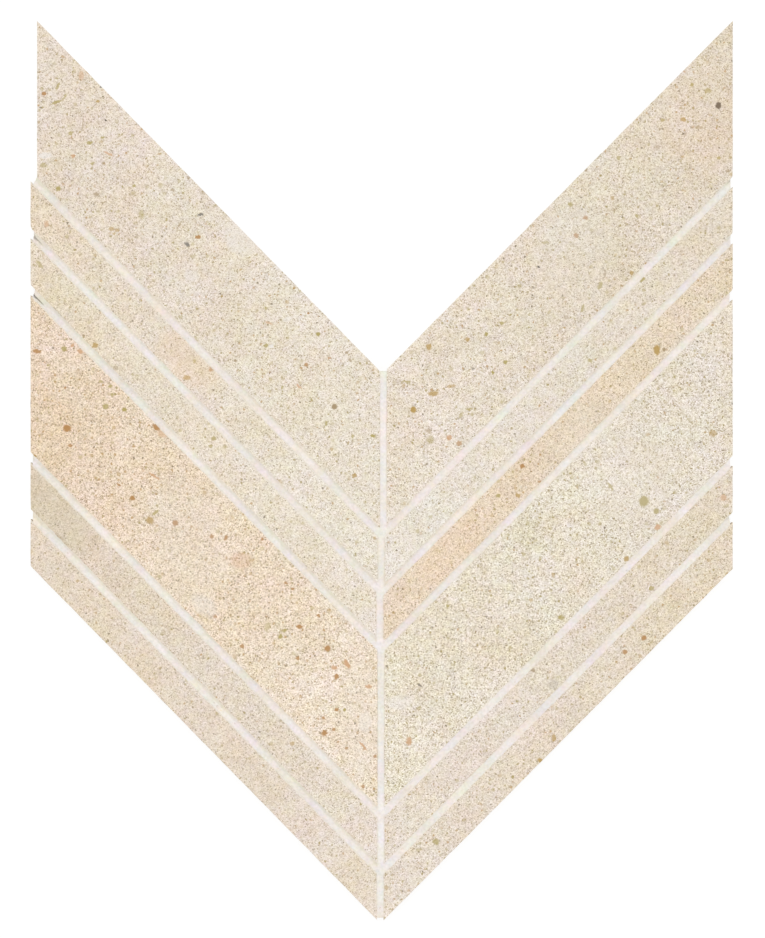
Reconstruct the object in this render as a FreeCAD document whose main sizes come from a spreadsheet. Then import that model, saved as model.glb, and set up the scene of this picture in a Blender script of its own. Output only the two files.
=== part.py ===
"""Chevron wall tile: a sheet of mitred strips laid face up, grouted and held on a backing net.

The sheet lies flat with its face up. X runs across it, Y from its point up to its notch, and Z out
of the wall. The origin is the middle of the sheet's box, on the underside of the net. Each arm holds
six strips, counted from the notch down to the point. All sizes are in millimetres and degrees.
"""
import FreeCAD, Part
import os
import Sketcher

SIZES = (
    ("sheet_width", 300.0, "from side to side across both arms"),
    ("wide_strip", 47.0, "width of a wide strip, square to its length"),
    ("narrow_strip", 14.0, "width of a narrow strip, square to its length"),
    ("joint", 3.0, "gap between two strips of one arm"),
    ("centre_joint", 2.8, "gap between the two arms"),
    ("left_arm_angle", 45.6, "rise of the left arm from level, as laid"),
    ("right_arm_angle", 45.2, "rise of the right arm from level, as laid"),
    ("left_arm_drop", 0.95, "how much lower the left arm sits than the right, as laid"),
    ("top_left_set_in", 2.8, "how far the top left strip stops short of the side"),
    ("row_1_shift", 0.7, "sideways shift of row 1 at the centre joint, as laid"),
    ("row_2_shift", -0.2, "the same for row 2"),
    ("row_3_shift", -0.8, "the same for row 3"),
    ("row_4_shift", -0.3, "the same for row 4"),
    ("row_5_shift", -0.4, "the same for row 5"),
    ("row_6_shift", -0.6, "the same for row 6"),
    ("tile_thickness", 9.0, "from the face of a strip to its back"),
    ("arris", 0.2, "small bevel round the face of each strip"),
    ("corner_round", 4.5, "round on an outer corner beside a joint"),
    ("worn_corner_round", 8.0, "the same on the two most rounded corners"),
    ("key_groove", 6.0, "width of a keying groove in the back"),
    ("key_land", 3.0, "least land between two keying grooves"),
    ("key_depth", 0.6, "depth of a keying groove"),
    ("net_thickness", 0.4, "backing net with its glue"),
    ("net_margin", 4.0, "how far the net stops short of the outline"),
    ("grout_drop", 0.25, "from the strip faces down to the grout's edges"),
    ("grout_hollow", 0.3, "depth of the tooled hollow along a joint"),
    ("grout_set_back", 0.8, "how far the grout stops short of the side"),
)
ROWS = ("wide", "narrow", "narrow", "wide", "narrow", "narrow")
SIDES = {"left": -1, "right": 1}
WORN_CORNERS = (("left", 2), ("left", 3))
GROUT_LAP = 1.0
GROOVE_OVERRUN = 20.0
VOLUME_STEP = 1.0


def make_sizes(doc):
    """Writes the driving dimensions into the spreadsheet, one row each."""
    sheet = doc.addObject("Spreadsheet::Sheet", "Sizes")
    for row, (alias, size, meaning) in enumerate(SIZES, start=1):
        sheet.set(f"A{row}", str(size))
        sheet.setAlias(f"A{row}", alias)
        sheet.set(f"B{row}", meaning)
    doc.recompute()
    return sheet


def measure(expression):
    """The present value of an expression that reads the sizes."""
    result = FreeCAD.ActiveDocument.Sizes.evalExpression(expression)
    return float(getattr(result, "Value", result))


def strip_width(row):
    return f"Sizes.{ROWS[row - 1]}_strip"


def slope(side):
    return f"tan(Sizes.{side}_arm_angle)"


def upright(side):
    """Share of an upright length that is left when it is measured square to the arm."""
    return f"cos(Sizes.{side}_arm_angle)"


def height_below(row):
    """Width of the rows and joints below a row, square to the arm."""
    below = [f"{strip_width(r)} + Sizes.joint" for r in range(row + 1, len(ROWS) + 1)]
    return "(" + " + ".join(below or ["0"]) + ")"


def set_in(side, row):
    return "Sizes.top_left_set_in" if (side, row) == ("left", 1) else "0"


def drop(side):
    return "Sizes.left_arm_drop" if side == "left" else "0"


def arm_level(side):
    """The level where an arm's lower edge reaches the centre joint."""
    return f"Layout.point_level - {drop(side)}"


def corner_height(side):
    """From the level of the point up to the outer top corner of an arm."""
    run = f"((Sizes.sheet_width - Sizes.centre_joint) / 2 - {set_in(side, 1)})"
    stack = f"({height_below(1)} + {strip_width(1)})"
    return f"{run} * {slope(side)} + {stack} / {upright(side)} - {drop(side)}"


def make_layout(doc):
    """Holds the one worked-out size that every piece shares: the level where the right arm's lower
    edge reaches the centre joint, set so that the sheet's box is centred on the origin."""
    layout = doc.addObject("App::VarSet", "Layout")
    layout.addProperty("App::PropertyFloat", "point_level")
    last = f"Sizes.row_{len(ROWS)}_shift"
    dip = f"max({last} * {slope('left')} + {drop('left')}; -{last} * {slope('right')})"
    rise = f"max({corner_height('left')}; {corner_height('right')})"
    layout.setExpression("point_level", f"({dip} - {rise}) / 2")
    doc.recompute()
    return layout


def new_sketch(body, name):
    """A sketch on the body's own level plane."""
    plane = next(f for f in body.Origin.OriginFeatures if f.Role == "XY_Plane")
    sketch = body.newObject("Sketcher::SketchObject", name)
    sketch.AttachmentSupport = [(plane, "")]
    sketch.MapMode = "FlatFace"
    return sketch


def draw_outline(sketch, points):
    """Draws a closed outline of straight lines through the points."""
    corners = [FreeCAD.Vector(x, y, 0) for x, y in points]
    count = len(corners)
    for i in range(count):
        sketch.addGeometry(Part.LineSegment(corners[i], corners[(i + 1) % count]), False)
    for i in range(count):
        sketch.addConstraint(Sketcher.Constraint("Coincident", i, 2, (i + 1) % count, 1))


def bind(sketch, name, expression, kind, *places):
    """Adds a constraint whose size follows the spreadsheet."""
    index = sketch.addConstraint(Sketcher.Constraint(kind, *places, measure(expression)))
    sketch.renameConstraint(index, name)
    sketch.setExpression(f"Constraints.{name}", expression)


def draw_slanted_strip(sketch, side, overrun, offset, run, width):
    """Draws a four-sided outline with upright ends that climbs outwards along an arm.

    Its lower edge passes the origin at the offset, starts the overrun inside it and ends the run
    outside that. Edge 0 is the lower edge, 1 the outer end, 2 the upper edge and 3 the inner end.
    """
    out, tangent, share = SIDES[side], measure(slope(side)), measure(upright(side))
    start_x = -out * overrun
    start_y = -overrun * tangent + measure(offset) / share
    end_x = start_x + out * measure(run)
    end_y = start_y + measure(run) * tangent
    tall = measure(width) / share
    draw_outline(sketch, ((start_x, start_y), (end_x, end_y), (end_x, end_y + tall), (start_x, start_y + tall)))
    sketch.addConstraint(Sketcher.Constraint("Vertical", 1))
    sketch.addConstraint(Sketcher.Constraint("Vertical", 3))
    sketch.addConstraint(Sketcher.Constraint("Parallel", 0, 2))
    level_ends = (0, 1, 0, 2) if out > 0 else (0, 2, 0, 1)
    bind(sketch, "run", run, "DistanceX", *level_ends)
    bind(sketch, "climb", f"{run} * {slope(side)}", "DistanceY", 0, 1, 0, 2)
    bind(sketch, "width", width, "Distance", 3, 1, 0)
    if overrun:
        start_to_origin = (0, 1, -1, 1) if out > 0 else (-1, 1, 0, 1)
        sketch.addConstraint(Sketcher.Constraint("DistanceX", *start_to_origin, overrun))
        bind(sketch, "offset", offset, "Distance", -1, 1, 0)
    else:
        sketch.addConstraint(Sketcher.Constraint("Coincident", 0, 1, -1, 1))


def add_pad(body, sketch, name, length):
    pad = body.newObject("PartDesign::Pad", name)
    pad.Profile = sketch
    pad.setExpression("Length", length)
    body.Document.recompute()
    return pad


def nearest_edge(shape, point):
    """Name of the edge whose middle lies nearest to a point."""
    gaps = [edge.CenterOfMass.distanceToPoint(point) for edge in shape.Edges]
    return f"Edge{gaps.index(min(gaps)) + 1}"


def round_corner(body, side, row, solid, run):
    """Rounds the outer lower corner, where the joint below runs out at the sheet's side."""
    worn = (side, row) in WORN_CORNERS
    corner_x = SIDES[side] * measure(run)
    corner_y = measure(f"{run} * {slope(side)}")
    middle = FreeCAD.Vector(corner_x, corner_y, measure("Sizes.tile_thickness / 2"))
    fillet = body.newObject("PartDesign::Fillet", "corner_round")
    fillet.Base = (solid, [nearest_edge(solid.Shape, middle)])
    fillet.setExpression("Radius", "Sizes.worn_corner_round" if worn else "Sizes.corner_round")
    body.Document.recompute()
    return fillet


def bevel_face(body, solid):
    """Bevels every edge of the strip's face."""
    face = max(solid.Shape.Faces, key=lambda f: f.CenterOfMass.z)
    names = [f"Edge{i}" for i, edge in enumerate(solid.Shape.Edges, start=1)
             if any(edge.isSame(rim) for rim in face.Edges)]
    chamfer = body.newObject("PartDesign::Chamfer", "arris")
    chamfer.Base = (solid, names)
    chamfer.setExpression("Size", "Sizes.arris")
    body.Document.recompute()
    return chamfer


def cut_keys(body, side, row, run):
    """Cuts keying grooves along the back, as many as the width takes, centred on it."""
    width, pitch = strip_width(row), "(Sizes.key_groove + Sizes.key_land)"
    count = max(1, int(measure(f"({width} - Sizes.key_land) / {pitch}")))
    first = f"({width} - {count} * {pitch} + Sizes.key_land) / 2"
    before = body.Shape.Volume
    sketch = new_sketch(body, "key_outline")
    long_run = f"{run} + {2 * GROOVE_OVERRUN}"
    draw_slanted_strip(sketch, side, GROOVE_OVERRUN, first, long_run, "Sizes.key_groove")
    pocket = body.newObject("PartDesign::Pocket", "key")
    pocket.Profile = sketch
    pocket.Reversed = True
    pocket.setExpression("Length", "Sizes.key_depth")
    body.Document.recompute()
    if count > 1:
        pattern = body.newObject("PartDesign::LinearPattern", "keys")
        pattern.Originals = [pocket]
        pattern.Direction = (sketch, ["V_Axis"])
        pattern.Occurrences = count
        pattern.setExpression("Length", f"{count - 1} * {pitch} / {upright(side)}")
        body.Tip = pattern
        body.Document.recompute()
    if before - body.Shape.Volume < VOLUME_STEP:
        raise RuntimeError(f"the keying grooves cut nothing from {body.Label}")


def make_strip(doc, side, row):
    """One mitred strip, drawn from its lower inner corner and placed in its row."""
    out, shift = SIDES[side], f"Sizes.row_{row}_shift"
    run = f"((Sizes.sheet_width - Sizes.centre_joint) / 2 - {out} * {shift} - {set_in(side, row)})"
    body = doc.addObject("PartDesign::Body", f"{side}_strip_{row}")
    outline = new_sketch(body, "outline")
    draw_slanted_strip(outline, side, 0.0, "0", run, strip_width(row))
    solid = add_pad(body, outline, "blank", "Sizes.tile_thickness")
    if row < len(ROWS):
        solid = round_corner(body, side, row, solid, run)
    bevel_face(body, solid)
    cut_keys(body, side, row, run)
    corner_x = f"{out} * Sizes.centre_joint / 2 + {shift}"
    corner_y = f"{arm_level(side)} + {height_below(row)} / {upright(side)} + {out} * {shift} * {slope(side)}"
    body.setExpression("Placement.Base.x", corner_x)
    body.setExpression("Placement.Base.y", corner_y)
    body.setExpression("Placement.Base.z", "Sizes.net_thickness")
    return body


def joint_middle(side, row):
    """Where the middle line of the joint below a row would cross the sheet's middle line."""
    above = f"({height_below(row)} - Sizes.joint / 2)"
    return f"{arm_level(side)} + {above} / {upright(side)} - Sizes.centre_joint / 2 * {slope(side)}"


def joint_length(side):
    """From the middle line out to where the grout stops at the side, measured along the joint."""
    reach = "(Sizes.sheet_width / 2 - Sizes.grout_set_back"
    return f"{reach} - Sizes.joint / 2 * sin(Sizes.{side}_arm_angle)) / {upright(side)}"


def grout_height():
    return "Sizes.tile_thickness - Sizes.grout_drop"


def make_joint_bar(doc, side, row):
    """A plain bar along one joint that laps over both strips beside it."""
    angle = f"Sizes.{side}_arm_angle"
    half = f"(Sizes.joint / 2 + {GROUT_LAP})"
    bar = doc.addObject("Part::Box", f"{side}_bar_{row}")
    bar.setExpression("Length", joint_length(side))
    bar.setExpression("Width", f"2 * {half}")
    bar.setExpression("Height", grout_height())
    corner_y = f"{joint_middle(side, row)} - {SIDES[side]} * {half} * {upright(side)}"
    corner = f"vector({half} * sin({angle}); {corner_y}; Sizes.net_thickness)"
    turn = f"90 - {SIDES[side]} * (90 - {angle})"
    bar.setExpression("Placement", f"placement({corner}; rotation(vector(0; 0; 1); {turn}))")
    return bar


def make_centre_bar(doc):
    """A plain bar along the centre joint, from just inside the point up to the notch."""
    stack = f"({height_below(1)} + {strip_width(1)})"
    start = f"{GROUT_LAP} * max({slope('left')}; {slope('right')})"
    bar = doc.addObject("Part::Box", "centre_bar")
    bar.setExpression("Length", f"Sizes.centre_joint + 2 * {GROUT_LAP}")
    bar.setExpression("Width", f"{stack} / {upright('right')} - {start}")
    bar.setExpression("Height", grout_height())
    bar.setExpression("Placement.Base.x", f"-Sizes.centre_joint / 2 - {GROUT_LAP}")
    bar.setExpression("Placement.Base.y", f"Layout.point_level + {start}")
    bar.setExpression("Placement.Base.z", "Sizes.net_thickness")
    return bar


def make_tool(doc, name, width, length, start_y, direction):
    """A round tool lying along a joint, which leaves the grout hollow across that width."""
    tool = doc.addObject("Part::Cylinder", name)
    radius = f"({width}^2 / 4 + Sizes.grout_hollow^2) / (2 * Sizes.grout_hollow)"
    tool.setExpression("Radius", radius)
    tool.setExpression("Height", length)
    face = f"Sizes.net_thickness + {grout_height()}"
    start = f"vector(0; {start_y}; {face} - Sizes.grout_hollow + {radius})"
    x, y = direction
    tool.setExpression("Placement", f"placement({start}; rotation(vector(-({y}); {x}; 0); 90))")
    return tool


def make_tools(doc):
    """One tool for each joint and one for the centre joint."""
    tools = []
    for side, out in SIDES.items():
        angle = f"Sizes.{side}_arm_angle"
        for row in range(1, len(ROWS)):
            direction = (f"{out} * cos({angle})", f"sin({angle})")
            length = f"{joint_length(side)} + Sizes.joint"
            start_y = joint_middle(side, row)
            tools.append(make_tool(doc, f"{side}_tool_{row}", "Sizes.joint", length, start_y, direction))
    below = "Layout.point_level - Sizes.centre_joint"
    length = "2 * Sizes.centre_joint + Sizes.sheet_width"
    tools.append(make_tool(doc, "centre_tool", "Sizes.centre_joint", length, below, ("0", "1")))
    return tools


def join(doc, name, pieces):
    fused = doc.addObject("Part::MultiFuse", name)
    fused.Shapes = pieces
    return fused


def cut(doc, name, base, tool):
    left = doc.addObject("Part::Cut", name)
    left.Base = base
    left.Tool = tool
    return left


def make_grout(doc, strips):
    """The grout, one piece: bars along every joint, less the strips and the tooled hollows."""
    bars = [make_joint_bar(doc, side, row) for side in SIDES for row in range(1, len(ROWS))]
    blank = join(doc, "grout_blank", [make_centre_bar(doc)] + bars)
    between = cut(doc, "grout_between", blank, join(doc, "strips_together", strips))
    return cut(doc, "grout", between, join(doc, "tooling", make_tools(doc)))


def make_net(doc):
    """The backing net as one thin sheet, a margin inside the outline of the strips."""
    body = doc.addObject("PartDesign::Body", "backing_net")
    sketch = new_sketch(body, "outline")
    half = "(Sizes.sheet_width / 2 - Sizes.net_margin)"
    tip = f"Layout.point_level + Sizes.net_margin / {upright('left')} - Sizes.centre_joint / 2"
    stack = f"({height_below(1)} + {strip_width(1)} - Sizes.net_margin)"
    notch = f"Layout.point_level + {stack} / {upright('right')} - Sizes.centre_joint / 2"
    half_x, tip_y, notch_y = measure(half), measure(tip), measure(notch)
    climb = {side: half_x * measure(slope(side)) for side in SIDES}
    draw_outline(sketch, (
        (0, tip_y), (half_x, tip_y + climb["right"]), (half_x, notch_y + climb["right"]),
        (0, notch_y), (-half_x, notch_y + climb["left"]), (-half_x, tip_y + climb["left"])))
    for upright_edge in (1, 4):
        sketch.addConstraint(Sketcher.Constraint("Vertical", upright_edge))
    sketch.addConstraint(Sketcher.Constraint("Parallel", 0, 2))
    sketch.addConstraint(Sketcher.Constraint("Parallel", 5, 3))
    for corner_edge in (0, 3):
        sketch.addConstraint(Sketcher.Constraint("PointOnObject", corner_edge, 1, -2))
    bind(sketch, "tip", f"-({tip})", "DistanceY", 0, 1, -1, 1)
    bind(sketch, "depth", f"({notch}) - ({tip})", "DistanceY", 0, 1, 3, 1)
    bind(sketch, "right_reach", half, "DistanceX", 0, 1, 0, 2)
    bind(sketch, "right_climb", f"{half} * {slope('right')}", "DistanceY", 0, 1, 0, 2)
    bind(sketch, "left_reach", half, "DistanceX", 5, 1, 5, 2)
    bind(sketch, "left_climb", f"{half} * {slope('left')}", "DistanceY", 5, 2, 5, 1)
    add_pad(body, sketch, "sheet", "Sizes.net_thickness")
    return body


def check(doc, pieces):
    """Stops if any object failed to build or any piece isn't one sound solid."""
    for item in doc.Objects:
        if {"Invalid", "Error"} & set(item.State):
            raise RuntimeError(f"{item.Label} failed: {item.State}")
    for piece in pieces:
        shape = piece.Shape
        if shape.isNull() or not shape.isValid() or len(shape.Solids) != 1:
            raise RuntimeError(f"{piece.Label} is not one sound solid")


def main():
    doc = FreeCAD.newDocument("chevron_wall_tile")
    make_sizes(doc)
    make_layout(doc)
    strips = [make_strip(doc, side, row) for side in SIDES for row in range(1, len(ROWS) + 1)]
    pieces = strips + [make_grout(doc, strips), make_net(doc)]
    doc.recompute()
    check(doc, pieces)
    os.makedirs("parts", exist_ok=True)
    for piece in pieces:
        piece.Shape.exportStep(f"parts/{piece.Label}.step")
        box = piece.Shape.BoundBox
        print(f"{piece.Label}: {piece.Shape.Volume:.1f} mm3, x {box.XMin:.2f} to {box.XMax:.2f}, "
              f"y {box.YMin:.2f} to {box.YMax:.2f}, z {box.ZMin:.2f} to {box.ZMax:.2f}")


main()
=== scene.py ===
"""Chevron wall tile: a sheet of limestone-look porcelain strips, grouted and held on a net.

Laid out as an add-on and run as a script. The settings are in property groups, each group of pieces
has its own operator, and a panel in the sidebar lists them. Objects are in metres, in the frame of
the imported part. Names that end in _MM are in millimetres.
"""
import math
import random
from typing import NamedTuple

import bpy
import numpy as np
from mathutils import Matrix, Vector, noise
from mathutils.geometry import delaunay_2d_cdt


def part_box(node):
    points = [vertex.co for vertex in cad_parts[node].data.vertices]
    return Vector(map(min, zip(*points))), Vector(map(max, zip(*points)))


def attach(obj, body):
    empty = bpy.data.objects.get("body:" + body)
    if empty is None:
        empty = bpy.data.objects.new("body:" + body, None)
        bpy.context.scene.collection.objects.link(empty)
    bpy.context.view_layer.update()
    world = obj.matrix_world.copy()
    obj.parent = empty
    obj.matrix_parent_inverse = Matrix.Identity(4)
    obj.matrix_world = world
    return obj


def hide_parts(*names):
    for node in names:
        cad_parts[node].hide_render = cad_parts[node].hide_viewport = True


bl_info = {
    "name": "Chevron Wall Tile",
    "version": (1, 0, 0),
    "blender": (4, 5, 0),
    "location": "3D View > Sidebar > Tile",
    "description": "Dresses a chevron mosaic wall tile around its packed frame",
    "category": "Object",
}

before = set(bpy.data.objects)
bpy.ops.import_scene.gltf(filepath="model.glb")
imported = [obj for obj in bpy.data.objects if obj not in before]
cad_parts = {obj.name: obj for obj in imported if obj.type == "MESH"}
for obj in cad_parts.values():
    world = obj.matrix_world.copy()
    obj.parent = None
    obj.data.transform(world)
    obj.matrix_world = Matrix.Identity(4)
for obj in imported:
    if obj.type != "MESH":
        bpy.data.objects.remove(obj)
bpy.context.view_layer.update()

MM = 0.001
SIDES = {"left": -1, "right": 1}
ROWS = range(1, 7)
STRIPS = tuple(f"{side}_strip_{row}" for side in SIDES for row in ROWS)
FACE_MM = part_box("left_strip_1")[1].z / MM
BACK_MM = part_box("left_strip_1")[0].z / MM

# Distances in from an edge at which the strip's grid has a line, so that the arris is round.
ARRIS_STEPS_MM = (0.0, 0.05, 0.13, 0.25, 0.4, 0.62, 0.95, 1.5, 2.3)
CORNER_ROUND_MM = 1.4
WORN_CORNER_ROUND_MM = 3.6
WORN_CORNER = "left_strip_2"
# How far the pale edge reaches over the upper edge of a strip, more than over its other edges: partly a
# film of cement, partly a painted highlight on the arris that faces the light.
UPPER_FILM_AND_HIGHLIGHT_MM = {"left": 0.35, "right": -0.05}
KEY_GROOVE_MM = 6.0
KEY_LAND_MM = 3.0
KEY_DEPTH_MM = 0.6
KEY_SLOPE_MM = 0.35

# Outer tone, inner tone, grain, and how common olive and rust flecks are, one row for each strip.
GLAZES = {
    "left_strip_1": ("#E2D3C1", "#E6DBCA", 0.94, 1.0, 0.8),
    "left_strip_2": ("#E2D2BC", "#E7DDCD", 0.92, 0.7, 0.5),
    "left_strip_3": ("#E3D5BF", "#E8DCCB", 0.87, 0.7, 0.3),
    "left_strip_4": ("#E5CFB5", "#EBDAC4", 1.18, 0.9, 2.6),
    "left_strip_5": ("#DDCBB4", "#E4D7C7", 0.95, 0.5, 0.3),
    "left_strip_6": ("#E2D1BD", "#E4D6C6", 0.85, 0.6, 0.4),
    "right_strip_1": ("#DED1BD", "#E6D9C8", 1.02, 1.0, 0.9),
    "right_strip_2": ("#E1D4C1", "#E7DDCF", 0.85, 0.7, 0.3),
    "right_strip_3": ("#E1D0B8", "#E6D2BA", 1.02, 0.7, 1.1),
    "right_strip_4": ("#E3D8C7", "#E5DAC6", 1.18, 1.3, 0.4),
    "right_strip_5": ("#E0D2BE", "#E5D8C9", 0.95, 0.8, 0.5),
    "right_strip_6": ("#E2D3BD", "#E4D6C6", 0.93, 1.2, 1.2),
}
TONES = {
    "olive": "#AE9D56",
    "rust": "#B38143",
    "ochre": "#B69347",
    "clay": "#CFA073",
    "umber": "#A58D68",
    "slate": "#79736A",
    "char": "#544839",
    "milk": "#EFEAE4",
    "peach": "#F0C592",
    "sage": "#C6BE9E",
}
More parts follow.
